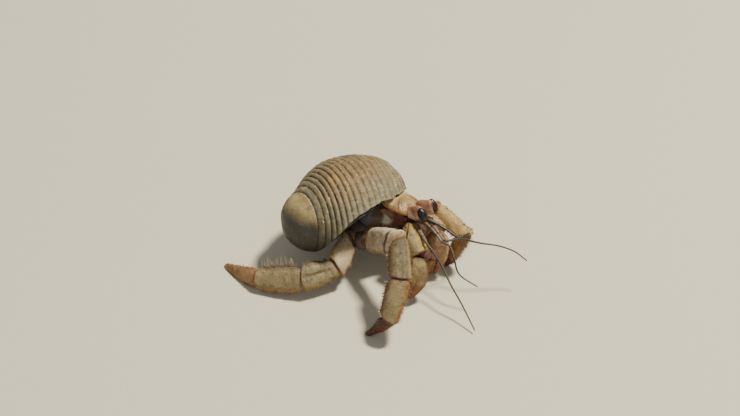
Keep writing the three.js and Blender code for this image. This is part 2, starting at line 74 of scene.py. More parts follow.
def lamp(name, direction, distance, size, power, colour):
    """A square soft box looking at the crab from a direction, at a distance in metres."""
    light = bpy.data.lights.new(name, "AREA")
    light.size = size
    light.energy = power
    light.color = colour
    back = np.array(direction, float) / np.linalg.norm(direction)
    side = np.cross([0, 0, 1], back)
    side /= np.linalg.norm(side)
    turn = np.vstack([np.c_[side, np.cross(back, side), back, back * distance], [0, 0, 0, 1]])
    link(bpy.data.objects.new(name, light)).matrix_world = Matrix(turn.tolist())


lamp("key_light", (0.25, 0.29, 0.93), 1.0, 0.12, 18, (1.0, 0.94, 0.80))
lamp("side_light", (0.9, -1.0, 0.7), 1.1, 0.9, 2.0, (1.0, 0.96, 0.9))
sky = bpy.data.worlds.new("studio")
sky.use_nodes = True
sky.node_tree.nodes["Background"].inputs["Color"].default_value = (0.93, 0.95, 1.0, 1)
sky.node_tree.nodes["Background"].inputs["Strength"].default_value = 0.30
bpy.context.scene.world = sky


def tint(code):
    """A colour written as six hex digits, turned into the linear numbers a shader takes."""
    part = np.array([int(code[k:k + 2], 16) for k in (0, 2, 4)]) / 255
    flat = np.where(part < 0.04045, part / 12.92, ((part + 0.055) / 1.055) ** 2.4)
    return (*flat.tolist(), 1.0)


class Val:
    """A value on its way through a finish: + - * and abs() on it add Math nodes."""

    def __init__(self, finish, socket):
        self.finish = finish
        self.socket = socket

    def do(self, name, a, b=None):
        return self.finish.node("ShaderNodeMath", {"operation": name}, a, b)

    def __add__(self, other):
        return self.do("ADD", self, other)

    def __sub__(self, other):
        return self.do("SUBTRACT", self, other)

    def __rsub__(self, other):
        return self.do("SUBTRACT", other, self)

    def __mul__(self, other):
        return self.do("MULTIPLY", self, other)

    def __abs__(self):
        return self.do("ABSOLUTE", self)

    __radd__ = __add__
    __rmul__ = __mul__

    def over(self, low, high):
        """0 below low, 1 above high and a smooth step between."""
        step = {"interpolation_type": "SMOOTHSTEP", "clamp": True}
        return self.finish.node("ShaderNodeMapRange", step, self, low, high, 0.0, 1.0)


class Finish:
    """A material and the one way, node(), in which its nodes are made and joined."""

    def __init__(self, name, roughness):
        self.material = bpy.data.materials.new(name)
        self.material.use_nodes = True
        self.tree = self.material.node_tree
        self.shader = self.tree.nodes["Principled BSDF"]
        self.feed(self.shader.inputs["Roughness"], roughness)

    def node(self, kind, settings, *inputs, out=0):
        made = self.tree.nodes.new(kind)
        for key, value in settings.items():
            setattr(made, key, value)
        for socket, value in zip(made.inputs, inputs):
            self.feed(socket, value)
        return Val(self, made.outputs[out])

    def feed(self, socket, value):
        """A link for a Val, a number or colour as it is, and nothing for None."""
        if isinstance(value, Val):
            self.tree.links.new(value.socket, socket)
        elif value is not None:
            socket.default_value = value

    def spot(self):
        """The point's own place on the object, in metres."""
        return self.node("ShaderNodeTexCoord", {}, out=3)

    def mark(self, name):
        """A number that the mesh holds at each of its points."""
        return self.node("ShaderNodeAttribute", {"attribute_name": name}, out=2)

    def noise(self, size, detail=3.0, rough=0.55):
        """Cloudy noise from 0 to 1 whose blobs are about size millimetres across."""
        return self.node("ShaderNodeTexNoise", {}, self.spot(), None, 500.0 / size, detail, rough)

    def cells(self, size):
        """Voronoi cells about size millimetres across: the distance to each one's middle."""
        return self.node("ShaderNodeTexVoronoi", {}, self.spot(), None, 1000.0 / size)

    def blend(self, share, first, second, way="MIX"):
        """A colour between two, by share, or the first multiplied by the second."""
        kind = {"data_type": "RGBA", "blend_type": way, "clamp_factor": True}
        return self.node("ShaderNodeMix", kind, share, *[None] * 5, first, second, out=2)

    def bump(self, height, depth):
        """Height in parts of depth, which is in millimetres."""
        made = self.node("ShaderNodeBump", {}, 1.0, depth / 1000)
        self.feed(made.socket.node.inputs["Height"], height)
        return made

    def wear(self, colour, normal=None, roughness=None):
        self.feed(self.shader.inputs["Base Color"], colour)
        self.feed(self.shader.inputs["Normal"], normal)
        self.feed(self.shader.inputs["Roughness"], roughness)
        return self


paper = Finish("pale_floor", 0.85)
speck = paper.noise(1.4, 2.0)
paper_colour = paper.blend(paper.noise(160.0, 4.0) * 0.5 + speck * 0.3, tint("c9c2ab"), tint("d6d0bc"))
paper.wear(paper_colour, paper.bump(speck, 0.05))
lines = np.linspace(-FLOOR_HALF, FLOOR_HALF, FLOOR_LINES) / 1000
floor_x, floor_y = np.meshgrid(lines, lines, indexing="ij")
floor_points = np.c_[floor_x.ravel(), floor_y.ravel(), np.zeros(floor_x.size)]
corner = np.add.outer(np.arange(FLOOR_LINES - 1) * FLOOR_LINES, np.arange(FLOOR_LINES - 1)).ravel()
squares = np.c_[corner, corner + FLOOR_LINES, corner + FLOOR_LINES + 1, corner + 1]
floor_mesh = bpy.data.meshes.new("floor")
floor_mesh.from_pydata(floor_points.tolist(), [], squares.tolist())
floor_mesh.materials.append(paper.material)
link(bpy.data.objects.new("floor", floor_mesh))


# ------------------------------------------------------------------ shell
# A globe-shaped sea-snail shell, lime, with rounded ribs running along the coil, worn grooves
# between them and a bald worn dome for a spire. One closed skin: outside, lip, and the hollow
# of the mouth; the dome is a second skin that meets it at the seam.
CENTRE = np.array([-13.9, -6.3, 13.35])
heading, lift, roll = np.radians([-115.3, 0.5, 47.4])
apex_way = np.array([np.cos(heading) * np.cos(lift), np.sin(heading) * np.cos(lift), np.sin(lift)])
shell_up = np.array([0, 0, 1.0]) - apex_way[2] * apex_way
shell_up /= np.linalg.norm(shell_up)
lip_way = np.cos(roll) * shell_up + np.sin(roll) * np.cross(shell_up, apex_way)
SHELL_AXES = np.array([np.cross(lip_way, apex_way), lip_way, apex_way])
LIP_ANGLE, LIP_RADIUS, GROWTH, SLIP = np.radians(68), 14.4, 1.79, 1.94
APEX_REACH, FORE_REACH = 11.96, 16.35
RIB_DEPTH, RIB_MIDDLE = 0.6, 0.8
MOUTH_DISTANCE, LIP_ARCH = 5.21, 1.3
mouth_turn, mouth_lean = np.radians([6.5, -18.5])
MOUTH = np.array([
    np.cos(mouth_turn) * np.cos(mouth_lean), np.sin(mouth_turn) * np.cos(mouth_lean), np.sin(mouth_lean),
])
MOUTH_MIDDLE, MOUTH_HALVES, HOLLOW_DEPTH = (4.6, -3.6), (8.45, 10.85), 6.9
DOME_MIDDLE, DOME_HALVES = [0.53, 0.49, 8.0], [7.74, 7.74, 7.45]
GROOVES = np.array([
    -1.32, -1.245, -1.17, -1.095, -1.02, -0.95, -0.875, -0.80, -0.718, -0.635, -0.535, -0.43, -0.34,
    -0.25, -0.15, -0.04, 0.08, 0.19, 0.305, 0.414, 0.51, 0.595, 0.69, 0.80, 0.90,
])
BEND_AT = [30, 50, 68, 80, 95, 105, 120, 135, 150, 165, 180, 195, 220, 307, 340]
BEND = np.array([0.75, 0.55, 0.30, 0.10, 0, 0, 0.10, 0.35, 0.80, 1.35, 1.95, 2.4, 2.6, 2.4, 1.6])
BOLD_AT = [-1, -0.5, 0.0, 0.3, 0.58, 0.62, 0.8, 0.82]
BOLD = [0.55, 0.5, 0.6, 0.85, 1.0, 0.85, 0.8, 0.75]


def rings_mesh(points, **marks):
    """Rings of points [ring, place round it] joined by quads, with a fan to the middle of the
    first and last ring. Faces are turned to point outwards. marks: a number at every point."""
    rows, cols = points.shape[:2]
    verts = np.vstack([points.reshape(-1, 3), points[0].mean(0), points[-1].mean(0)])
    i, j = np.meshgrid(np.arange(rows - 1), np.arange(cols), indexing="ij")
    here, beside = i * cols + j, i * cols + (j + 1) % cols
    quads = np.stack([here, beside, beside + cols, here + cols], -1).reshape(-1, 4)
    u0, u1, v0, v1 = j / cols, (j + 1) / cols, i / (rows - 1), (i + 1) / (rows - 1)
    quad_uv = np.stack([u0, v0, u1, v0, u1, v1, u0, v1], -1).reshape(-1, 4, 2)
    j = np.arange(cols)
    k = (j + 1) % cols
    first = np.stack([np.full(cols, rows * cols), k, j], -1)
    last = np.stack([np.full(cols, rows * cols + 1), (rows - 1) * cols + j, (rows - 1) * cols + k], -1)
    fans = np.vstack([first, last])
    u = np.stack([(j + 0.5) / cols, (j + 1) / cols, j / cols], -1)
    fan_v = np.repeat([0.0, 1.0], cols)[:, None] * np.ones(3)
    fan_uv = np.stack([np.vstack([u, u[:, [0, 2, 1]]]), fan_v], -1)
    tri = np.vstack([quads[:, [0, 1, 2]], quads[:, [0, 2, 3]], fans])
    middle = verts.mean(0)
    a, b, c = (verts[tri[:, n]] - middle for n in range(3))
    if np.einsum("ij,ij->i", a, np.cross(b, c)).sum() < 0:
        quads, quad_uv = quads[:, ::-1], quad_uv[:, ::-1]
        fans, fan_uv = fans[:, ::-1], fan_uv[:, ::-1]
    full = {}
    for key, value in marks.items():
        value = np.broadcast_to(value, (rows, cols)).astype(float)
        full[key] = np.r_[value.ravel(), value[0].mean(), value[-1].mean()]
    return {"verts": verts, "faces": [quads, fans], "uv": [quad_uv, fan_uv], "marks": full}


def make_piece(name, parts, finish, slot, *nodes, uv_name="UVMap"):
    """Closed skins joined into one object that rides on the crab. Points are in crab
    millimetres; nodes are the plain solids that the piece stands for."""
    keys = sorted({key for part in parts for key in part["marks"]})
    verts, faces, uv, marks, start = [], [], [], {key: [] for key in keys}, 0
    for part in parts:
        verts.append(part["verts"])
        for face, loop in zip(part["faces"], part["uv"]):
            faces += (face + start).tolist()
            uv.append(loop.reshape(-1, 2))
        for key in keys:
            marks[key].append(part["marks"].get(key, np.zeros(len(part["verts"]))))
        start += len(part["verts"])
    mesh = bpy.data.meshes.new(name)
    mesh.from_pydata(scene(np.vstack(verts)).tolist(), [], faces, shade_flat=False)
    mesh.uv_layers.new(name=uv_name).data.foreach_set("uv", np.vstack(uv).astype(np.float32).ravel())
    for key in keys:
        layer = mesh.attributes.new(key, "FLOAT", "POINT")
        layer.data.foreach_set("value", np.concatenate(marks[key]).astype(np.float32))
    mesh.materials.append(finish.material)
    piece = link(bpy.data.objects.new(name, mesh))
    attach(piece, "root")
    if nodes:
        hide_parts(*nodes)


def wrinkle(points, size, seed, waves=28):
    """Smooth lumps about `size` across, from about -1 to 1: a sum of sine waves that run in
    random directions."""
    rng = np.random.default_rng(seed)
    way = rng.normal(size=(waves, 3))
    way *= (2 * np.pi / size * rng.uniform(0.6, 1.5, waves) / np.linalg.norm(way, axis=1))[:, None]
    return np.sin(points @ way.T + rng.uniform(0, 6.28, waves)).sum(-1) / np.sqrt(waves * 1.6)


def smooth(x, low, high):
    """0 below low, 1 above high, with a soft step between."""
    x = np.clip((x - low) / (high - low), 0, 1)
    return x * x * (3 - 2 * x)


def bent(angle, v):
    """A groove lies at one place v across the coil, but bends towards the apex, by BEND
    millimetres, as it goes round: this takes the bend off v."""
    return v - np.interp(np.degrees(angle) % 360, BEND_AT, BEND, period=360) / 12.5


def rib_height(angle, v):
    """0 in a groove to 1 on the crown of a rib, with flat crowns and narrow grooves: a sine to a
    low power. BOLD says how bold the grooves are; on the bald dome there are none."""
    v = bent(angle, v)
    crown = np.abs(np.sin(np.pi * np.interp(v, GROOVES, np.arange(len(GROOVES))))) ** 0.62
    return 1 - (1 - crown) * np.interp(v, BOLD_AT, BOLD) * (v < 0.825)


def coil(angle, v):
    """The coil's skin at an angle round the axis and a place v across it, -1 to 1: the radius
    shrinks by GROWTH in a turn, times the square root of one minus a power of v; plus ribs."""
    turned = (angle - LIP_ANGLE) / (2 * np.pi)
    shrink = GROWTH ** -turned
    rho = LIP_RADIUS * shrink * np.sqrt(np.clip(1 - np.abs(v) ** np.where(v > 0, 2.1, 2.38), 0, 1))
    ribs = rib_height(angle, v) - RIB_MIDDLE
    rho = rho + ribs * RIB_DEPTH * shrink ** 0.5 * smooth(rho, 0.5, 3.0)
    z = np.where(v > 0, APEX_REACH, FORE_REACH) * v - SLIP * turned * (1 - v ** 6)
    return np.stack([rho * np.cos(angle), rho * np.sin(angle), z], -1)


def rim_angle(v, side, arch):
    """The angle at which the coil meets the mouth's plane, less arch millimetres, at each v:
    thirty steps, each half-way to the angle that the radius found so far asks for."""
    lap = 0 if side > 0 else 2 * np.pi
    angle = np.full(len(v), mouth_turn + side * 1.2 + lap)
    for _ in range(30):
        x, y, z = coil(angle, v).T
        need = (MOUTH_DISTANCE - arch - MOUTH[2] * z) / (np.hypot(*MOUTH[:2]) * np.hypot(x, y))
        angle = 0.5 * angle + 0.5 * (mouth_turn + side * np.arccos(np.clip(need, -1, 1)) + lap)
    return angle


def shell_place(points):
    """From the shell's own axes, front, lip and apex, to crab millimetres."""
    return CENTRE + points @ SHELL_AXES


rows, out_cols, in_cols = 196, 280, 50
v = np.linspace(-0.995, 0.66, rows)
outer_rim = rim_angle(v, 1, LIP_ARCH * np.clip(1 - ((v - 0.05) / 0.62) ** 2, 0, 1))
inner_rim = rim_angle(v, -1, 0)
share = np.linspace(0, 1, out_cols)
share = 0.75 * share + 0.25 * (0.5 - 0.5 * np.cos(np.pi * share))
angles = outer_rim[:, None] + (inner_rim - outer_rim)[:, None] * share
places = np.broadcast_to(v[:, None], angles.shape)
outside = coil(angles, places)
ribs = rib_height(angles, places)
lump = wrinkle(outside, 7.0, 3) * 0.10 + wrinkle(outside, 2.2, 4) * 0.05
fine_lines = np.sin(angles * 96 + wrinkle(outside, 5, 9) * 2.4) * 0.5
fine_lines = fine_lines + np.sin(angles * 41 + 3 * places + wrinkle(outside, 9, 2) * 2) * 0.5
outward = outside * [1, 1, 0.4]
outward /= np.linalg.norm(outward, axis=-1, keepdims=True)
outside = outside + outward * (lump + 0.03 * fine_lines * ribs)[..., None]
chip = wrinkle(outside[:, :1], 2.6, 12)[..., None] * 0.16 + 0.10 * ribs[:, :1, None] - 0.12
outside = outside + MOUTH * chip * np.exp(-((share / 0.012) ** 2))[None, :, None]
mouth_out = np.array([0, 1.0, 0]) - MOUTH[1] * MOUTH
mouth_out /= np.linalg.norm(mouth_out)
mouth_along = np.cross(mouth_out, MOUTH)
mouth_along *= np.sign(mouth_along[2])
cross = np.linspace(0, 1, in_cols + 2)[None, 1:-1, None]
inside = outside[:, -1:] * (1 - cross) + outside[:, :1] * cross
flat = inside - MOUTH * MOUTH_DISTANCE
mouth_x = (flat @ mouth_out - MOUTH_MIDDLE[0]) / MOUTH_HALVES[0]
mouth_y = (flat @ mouth_along - MOUTH_MIDDLE[1]) / MOUTH_HALVES[1]
hollow = np.clip(1 - mouth_x ** 2 - mouth_y ** 2, 0, 1)
inside = inside - MOUTH * (HOLLOW_DEPTH * hollow ** 0.5)[..., None]
none_inside = np.zeros(inside.shape[:2])
coil_part = rings_mesh(
    shell_place(np.concatenate([outside, inside], 1)),
    groove=np.concatenate([1 - ribs, none_inside], 1),
    lining=np.concatenate([np.zeros(angles.shape), 0.35 + 0.65 * smooth(hollow, 0, 0.3)], 1),
    lip=np.concatenate([np.exp(-(share / 0.02) ** 2) * np.ones((rows, 1)), none_inside], 1),
    turned=np.concatenate([angles, none_inside], 1),
    crest=v[:, None],
    bald=0,
)

lift, turn = np.linspace(-0.32, 0.5 * np.pi, 122)[:-1], np.linspace(0, 2 * np.pi, 200, endpoint=False)
lift, turn = np.meshgrid(lift, turn, indexing="ij")
bulge = np.stack([np.cos(lift) * np.cos(turn), np.cos(lift) * np.sin(turn), np.sin(lift)], -1)
dome = bulge * DOME_HALVES + DOME_MIDDLE
rho, z = np.hypot(dome[..., 0], dome[..., 1]), dome[..., 2]
angle = np.arctan2(dome[..., 1], dome[..., 0])
angle = np.where(angle < outer_rim[-1], angle + 2 * np.pi, angle)
lap_end = outer_rim[-1] + 2 * np.pi
closing = (lap_end - angle) / (lap_end - inner_rim[-1]) * (inner_rim[-1] - LIP_ANGLE)
turned = np.where(angle < inner_rim[-1], angle - LIP_ANGLE, closing) / (2 * np.pi)
place = z / APEX_REACH
for _ in range(12):
    place = (z + SLIP * turned * (1 - np.clip(place, 0, 1) ** 6)) / APEX_REACH
ribs, bald = rib_height(angle, place), smooth(bent(angle, place), 0.79, 0.83)
coil_rho = LIP_RADIUS * GROWTH ** -turned * np.sqrt(np.clip(1 - np.clip(place, 0, 1) ** 2.1, 0, 1))
relief = (ribs - RIB_MIDDLE) * RIB_DEPTH * GROWTH ** (-turned / 2) * smooth(coil_rho, 0.5, 3.0)
coil_rho = coil_rho + relief - 0.03
both = (rho ** 8 + coil_rho ** 8) ** (1 / 8)
thread = np.sin(turn * 70 + wrinkle(dome, 4, 31) * 0.9) * smooth(rho, 1.5, 4.0)
worn = wrinkle(dome, 6, 21) * 0.10 + 0.014 * thread + (ribs - 1) * 0.25 * (coil_rho < rho)
dome[..., :2] *= (1 + (both / rho - 1) * smooth(place, 0.57, 0.61))[..., None]
dome = dome + bulge * worn[..., None]
dome = dome - MOUTH * np.maximum(dome @ MOUTH - MOUTH_DISTANCE, 0)[..., None]
dome_groove = (1 - ribs) * (1 - bald) + 0.25 * np.clip(-thread, 0, 1) * bald
dome_part = rings_mesh(shell_place(dome), groove=dome_groove, turned=angle, crest=place, bald=bald)

lime = Finish("shell_lime", 0.6)
dirt, patch, speckle = lime.noise(0.9, 5.0, 0.7), lime.noise(6.5, 4.0, 0.6), lime.noise(0.45, 3.0, 0.7)
turn_mark, crest_mark, bald_mark = lime.mark("turned"), lime.mark("crest"), lime.mark("bald")
along_ribs = lime.node("ShaderNodeCombineXYZ", {}, turn_mark * 3.0, crest_mark * 34.0, 0.0)
streak = lime.node("ShaderNodeTexNoise", {}, along_ribs, None, 1.0, 4.0, 0.6)
across_ribs = lime.node("ShaderNodeCombineXYZ", {}, turn_mark * 40.0, crest_mark * 3.0, 0.0)
growth = lime.node("ShaderNodeTexNoise", {}, across_ribs, None, 1.0, 3.0, 0.6)
height = lime.node("ShaderNodeSeparateXYZ", {}, lime.spot(), out=2) * 1000.0
crown = lime.blend(patch.over(0.36, 0.66), tint("6e6a54"), tint("8c7a50"))
crown = lime.blend(streak.over(0.42, 0.70) * 0.7, crown, tint("a39572"))
crown = lime.blend(growth.over(0.48, 0.70) * 0.55, crown, tint("4f4a3a"))
crown = lime.blend((height + patch * 4.0).over(24.0, 28.5) * (0.35 + streak * 0.8), crown, tint("785a30"))
rubbed = lime.noise(4.2, 3.0).over(0.60, 0.68) * streak.over(0.42, 0.58) * crest_mark.over(0.62, 0.40)
crown = lime.blend(rubbed * 0.75, crown, tint("ac8a4e"))
bald_tone = lime.blend(patch.over(0.35, 0.62), tint("94804e"), tint("ccb884"))
bald_tone = lime.blend(growth.over(0.42, 0.64) * 0.6, bald_tone, tint("6a5c3e"))
bald_tone = lime.blend(lime.noise(3.4, 3.0).over(0.48, 0.60) * 0.75, bald_tone, tint("965f28"))
crown = lime.blend(bald_mark, crown, bald_tone)
# Darker and blue-grey towards the bottom of the coil and of the dome, where the pale speckles and chalk fade
# too: partly the shell's own dark stain, partly painted shade.
low = 1 - (height + patch * 6.0 + growth * 4.0).over(17.5, 26.0)
dome_bottom_stain_and_shade = 1 - (height + patch * 4.0 + growth * 2.0).over(18.8, 22.8)
low = low + (dome_bottom_stain_and_shade - low) * bald_mark
crown = lime.blend(low * (0.84 + bald_mark * 0.10), crown, tint("24292b"))
# Painted shade: near-black in the grooves between the ribs and in the dome's fine threads, its strength
# varied by the dirt and streak noise.
groove_painted_shade = lime.mark("groove").over(0.10, 0.60) * (0.25 + dirt * 0.7 + streak * 0.6)
colour = lime.blend(groove_painted_shade, crown, tint("1d150c"))
colour = lime.blend(dirt.over(0.50, 0.66) * 0.65, colour, tint("38301f"))
colour = lime.blend(speckle.over(0.54, 0.70) * (0.5 - low * 0.43), colour, tint("c6ba98"))
chalk = (1 - lime.cells(1.1).over(0.10, 0.20)) * lime.noise(3.0, 2.0).over(0.60, 0.68) * (1 - low * 0.7)
colour = lime.blend(chalk * 0.9, colour, tint("e6dfcc"))
colour = lime.blend(lime.mark("lip") * 0.35, colour, tint("8f8468"))
# Painted shade: the hollow of the mouth, by its lining mark, is dark slate, darkest deep in the hollow.
mouth_painted_shade = lime.blend(patch.over(0.4, 0.6), tint("26282a"), tint("454846"))
colour = lime.blend(lime.mark("lining"), colour, mouth_painted_shade)
grit = lime.bump(dirt * 0.7 + growth * 0.5 + speckle * 0.5, 0.24)
lime.wear(colour, grit, 0.45 + dirt * 0.35 - bald_mark * 0.1)
make_piece("ribbed_shell", [coil_part, dome_part], lime, "shell", "shell")




# ------------------------------------------------------------------ walking legs and claw arms
# Horny plates in a row along each limb, grainy, flattened, with a thickened rim at each joint,
# small teeth on the edges and a soft red-brown skin between plates. Each plate is a line of
# rounded-box rings from joint to joint, mitred where two plates meet.
UP, FORWARD = (0, 0, 1), (1, 0, 0)
FORWARD_LEFT = (0.77, 0.64, 0)
TILTED_BACK = (-0.41, 0.49, 0.77)
NO_SLIT = 9.0
JOINT_GAP = 0.09


class Plate:
    """The way a plate's back faces, its depth and thickness listed from its near end to its far
    end, how far it bows towards its back, its furrow's depth and its slit's place, -1 to 1."""

    def __init__(self, up, depth, thick, bow=0.0, furrow=0.0, slit=NO_SLIT):
        self.up = np.array(up, float)
        self.depth = depth
        self.thick = thick
        self.bow = bow
        self.furrow = furrow
        self.slit = slit

    def up_across(self, way):
        """The direction nearest to up that lies square to way."""
        return unit(self.up - np.dot(self.up, way) * way)


LEG2_RIGHT = {
    "joints": [
        (0.3, -3.3, 9.4), (-2.4, -8.9, 11.3), (7.7, -11.0, 17.9), (13.7, -17.7, 14.0),
        (15.9, -24.5, 7.3), (10.1, -25.6, 0),
    ],
    "plates": {
        "ischium": Plate(UP, (3.4, 4.0, 4.2), (2.6, 2.8, 3.0)),
        "merus": Plate(TILTED_BACK, (5.6, 6.1, 6.1, 5.8, 5.0), (3.0, 3.4, 3.4, 3.2), furrow=0.15),
        "carpus": Plate(FORWARD_LEFT, (4.0, 4.9, 5.2, 4.9), (2.9, 3.2, 3.2), furrow=0.22),
        "propodus": Plate(FORWARD_LEFT, (4.7, 5.3, 5.0, 4.3), (2.9, 3.0, 2.8, 2.5)),
        "dactyl": Plate(FORWARD_LEFT, (3.9, 3.5, 2.8, 1.9, 0.9), (2.4, 2.3, 1.9, 1.3, 0.8), 0.5),
    },
}
LEG3_RIGHT = {
    "joints": [
        (-2.9, -3.6, 8.4), (-8.7, -9.4, 8.7), (-6.3, -17.3, 6.2), (-10.6, -24.4, 5.0),
        (-20.4, -29.5, 3.2), (-31.6, -28.7, 0),
    ],
    "plates": {
        "ischium": Plate(UP, (3.4, 3.9, 4.1), (2.6, 3.0, 3.2)),
        "merus": Plate((-0.55, 0.2, 0.8), (4.2, 5.4, 5.8, 4.9), (3.0, 3.5, 3.4)),
        "carpus": Plate(TILTED_BACK, (4.2, 5.2, 6.0, 5.6), (2.9, 3.1, 3.2), furrow=0.3),
        "propodus": Plate((-0.35, 0.42, 0.83), (5.5, 6.0, 5.9, 4.9), (3.0, 3.2, 3.0, 2.6), -0.35),
        "dactyl": Plate((-0.35, 0.42, 0.83), (4.5, 4.1, 3.5, 2.7, 1.5), (2.5, 2.3, 2.0, 1.5, 0.8), -0.3),
    },
}
LEG2_LEFT = {
    "joints": [
        (1.0, 4.4, 9.6), (-1.6, 6.3, 9.9), (4.3, 7.5, 13.7), (13.4, 6.7, 11.6), (10.9, 5.3, 4.4),
        (8.0, 5.5, 0),
    ],
    "plates": {
        "ischium": Plate(UP, (3.2, 3.6, 3.8), (2.4, 2.6, 2.8)),
        "merus": Plate(TILTED_BACK, (4.0, 4.7, 4.9, 4.4), (2.8, 3.1, 3.0)),
        "carpus": Plate(TILTED_BACK, (3.6, 4.0, 4.1, 3.7), (2.6, 2.8, 2.7)),
        "propodus": Plate(FORWARD_LEFT, (3.0, 3.0, 2.8, 2.4), (3.2, 3.4, 3.2, 2.7)),
        "dactyl": Plate(FORWARD_LEFT, (2.2, 2.1, 1.9, 1.5, 0.9), (2.5, 2.3, 2.0, 1.4, 0.8), 0.3),
    },
}
LEG3_LEFT = {
    "joints": [
        (-2.7, 3.7, 8.0), (-3.8, 6.4, 6.7), (-6.0, 11.7, 4.8), (-14.3, 14.1, 4.6),
        (-22.4, 17.3, 3.3), (-31.3, 15.0, 0),
    ],
    "plates": {
        "ischium": Plate(UP, (3.2, 3.5, 3.6), (2.4, 2.6, 2.7)),
        "merus": Plate(UP, (3.7, 4.4, 4.5, 4.1), (2.7, 3.0, 2.9)),
        "carpus": Plate(UP, (4.0, 4.6, 4.9, 4.6), (2.7, 2.9, 2.9)),
        "propodus": Plate(UP, (4.6, 5.0, 4.8, 4.1), (2.8, 2.9, 2.8, 2.4)),
        "dactyl": Plate(UP, (3.8, 3.5, 2.9, 2.1, 0.9), (2.3, 2.2, 1.9, 1.4, 0.8), 0.4),
    },
}
ARM_RIGHT = {
    "joints": [(2.9, -2.9, 9.6), (3.2, -5.2, 10.6), (5.0, -3.6, 14.2), (9.5, -5.3, 11.1)],
    "wrist": [((9.3, -3.6, 10.2), (1.9, 1.9, 1.7))],
    "plates": {
        "ischium": Plate(UP, (2.6, 3.0), (2.4, 2.8)),
        "merus": Plate(FORWARD, (3.0, 3.8, 4.0), (2.6, 3.0, 3.0)),
        "carpus": Plate((0.5, 0.45, 0.74), (3.5, 4.4, 4.2), (3.0, 3.6, 3.4)),
    },
}
ARM_LEFT = {
    "joints": [(3.0, 2.9, 9.6), (2.4, 4.9, 10.0), (4.4, 4.3, 12.7), (8.4, 2.4, 12.3)],
    "plates": {
        "ischium": Plate(UP, (2.8, 3.2), (2.6, 3.0)),
        "merus": Plate(FORWARD, (3.2, 4.2, 4.4), (2.8, 3.2, 3.4)),
        "carpus": Plate((0.5, 0.45, 0.74), (3.8, 5.0, 4.9), (3.4, 4.2, 4.2)),
    },
}
# A plate's grid of points, the share of the way along at each ring, the share towards the back
# and towards the flank at each column, -1 to 1, and the plate's own three directions.
Skin = namedtuple("Skin", "points along back flank way up side")
# Where hairs grow: points, outward directions, share along, the way they lean, and a map cell.
Bed = namedtuple("Bed", "points normal along way cell")


def unit(way):
    way = np.asarray(way, float)
    return way / np.linalg.norm(way, axis=-1, keepdims=True)


def listed(values, t):
    """A width read along a list, first entry at 0 and last at 1, half straight, half eased."""
    values = np.asarray(values, float)
    x = np.clip(t, 0, 1) * (len(values) - 1)
    k = np.minimum(x.astype(int), len(values) - 2)
    w = 0.5 * (x - k) + 0.5 * smooth(x - k, 0, 1)
    return values[k] * (1 - w) + values[k + 1] * w


def outward_of(points):
    """The outward direction at each point of a closed grid of rings."""
    way = np.cross(np.gradient(points, axis=0), np.roll(points, -1, 1) - np.roll(points, 1, 1))
    way /= np.linalg.norm(way, axis=-1, keepdims=True) + 1e-9
    return way * np.sign(((points - points.mean(1, keepdims=True)) * way).sum(-1).mean())


def plate_skin(
    plate, start, end, cut_start=None, cut_end=None, rows=54, cols=48, tip=False, square=2.4, hump=(0, 0),
):
    """The skin of one horny plate. Rings are rounded boxes: depth along `up`, thickness across.
    Both ends are slid along to a mitre plane, and hump millimetres further on the flanks, so
    that a rim ends in an arc. The near end is a neck, the far end flares to a rounded rim."""
    start, end = np.array(start, float), np.array(end, float)
    axis = end - start
    length = np.linalg.norm(axis)
    way = axis / length
    up = plate.up_across(way)
    side = np.cross(way, up)
    theta = 2 * np.pi * np.arange(cols) / cols
    back = np.sign(np.cos(theta)) * np.abs(np.cos(theta)) ** (2 / square)
    flank = np.sign(np.sin(theta)) * np.abs(np.sin(theta)) ** (2 / square)

    def offset(t):
        deep = up * (back * listed(plate.depth, t) / 2)[..., None]
        return deep + side * (flank * listed(plate.thick, t) / 2)[..., None]

    def mitre(plane, joint, t, inward, bulge):
        if plane is None:
            return np.full(cols, t)
        short = np.dot(plane, joint - (start + axis * t)) + inward * JOINT_GAP
        need = (short - offset(np.full(cols, t)) @ plane) / np.dot(plane, axis)
        return np.clip(t + need + bulge * (1 - back ** 2) / length, -0.35, 1.35)

    low = mitre(cut_start, start, 0.0, 1, hump[0])
    high = mitre(cut_end, end, 1.0, -1, hump[1])
    along = np.linspace(0, 1, rows)
    along = 0.35 * along + 0.65 * (0.5 - 0.5 * np.cos(np.pi * along))
    swell = 1 - 0.17 * np.exp(-(along / 0.05) ** 2) + 0.03 * np.exp(-((along - 0.13) / 0.05) ** 2)
    if tip:
        swell *= 1 - 0.25 * smooth(along, 0.985, 1.0)
    else:
        swell += 0.06 * np.exp(-((along - 0.93) / 0.05) ** 2)
        swell -= 0.14 * np.exp(-((1 - along) / 0.012) ** 2)
    t = low + (high - low) * along[:, None]
    line = start + axis * t[..., None] + up * (plate.bow * 4 * t * (1 - t))[..., None]
    return Skin(line + offset(t) * swell[:, None, None], along, back, flank, way, up, side)


def spine(base, way, size):
    """A small horny tooth: four rings that shrink to a point as they go out."""
    way = unit(way)
    side = unit(np.cross(way, [0.31, 0.52, 0.79]))
    ring = 2 * np.pi * np.arange(6) / 6
    around = side * np.cos(ring)[:, None] + np.cross(way, side) * np.sin(ring)[:, None]
    t = np.linspace(-0.25, 1, 4)[:, None, None]
    return base + way * size * t + around * size * (0.30 * (1 - np.clip(t, 0, 1)) ** 0.8 + 0.01)


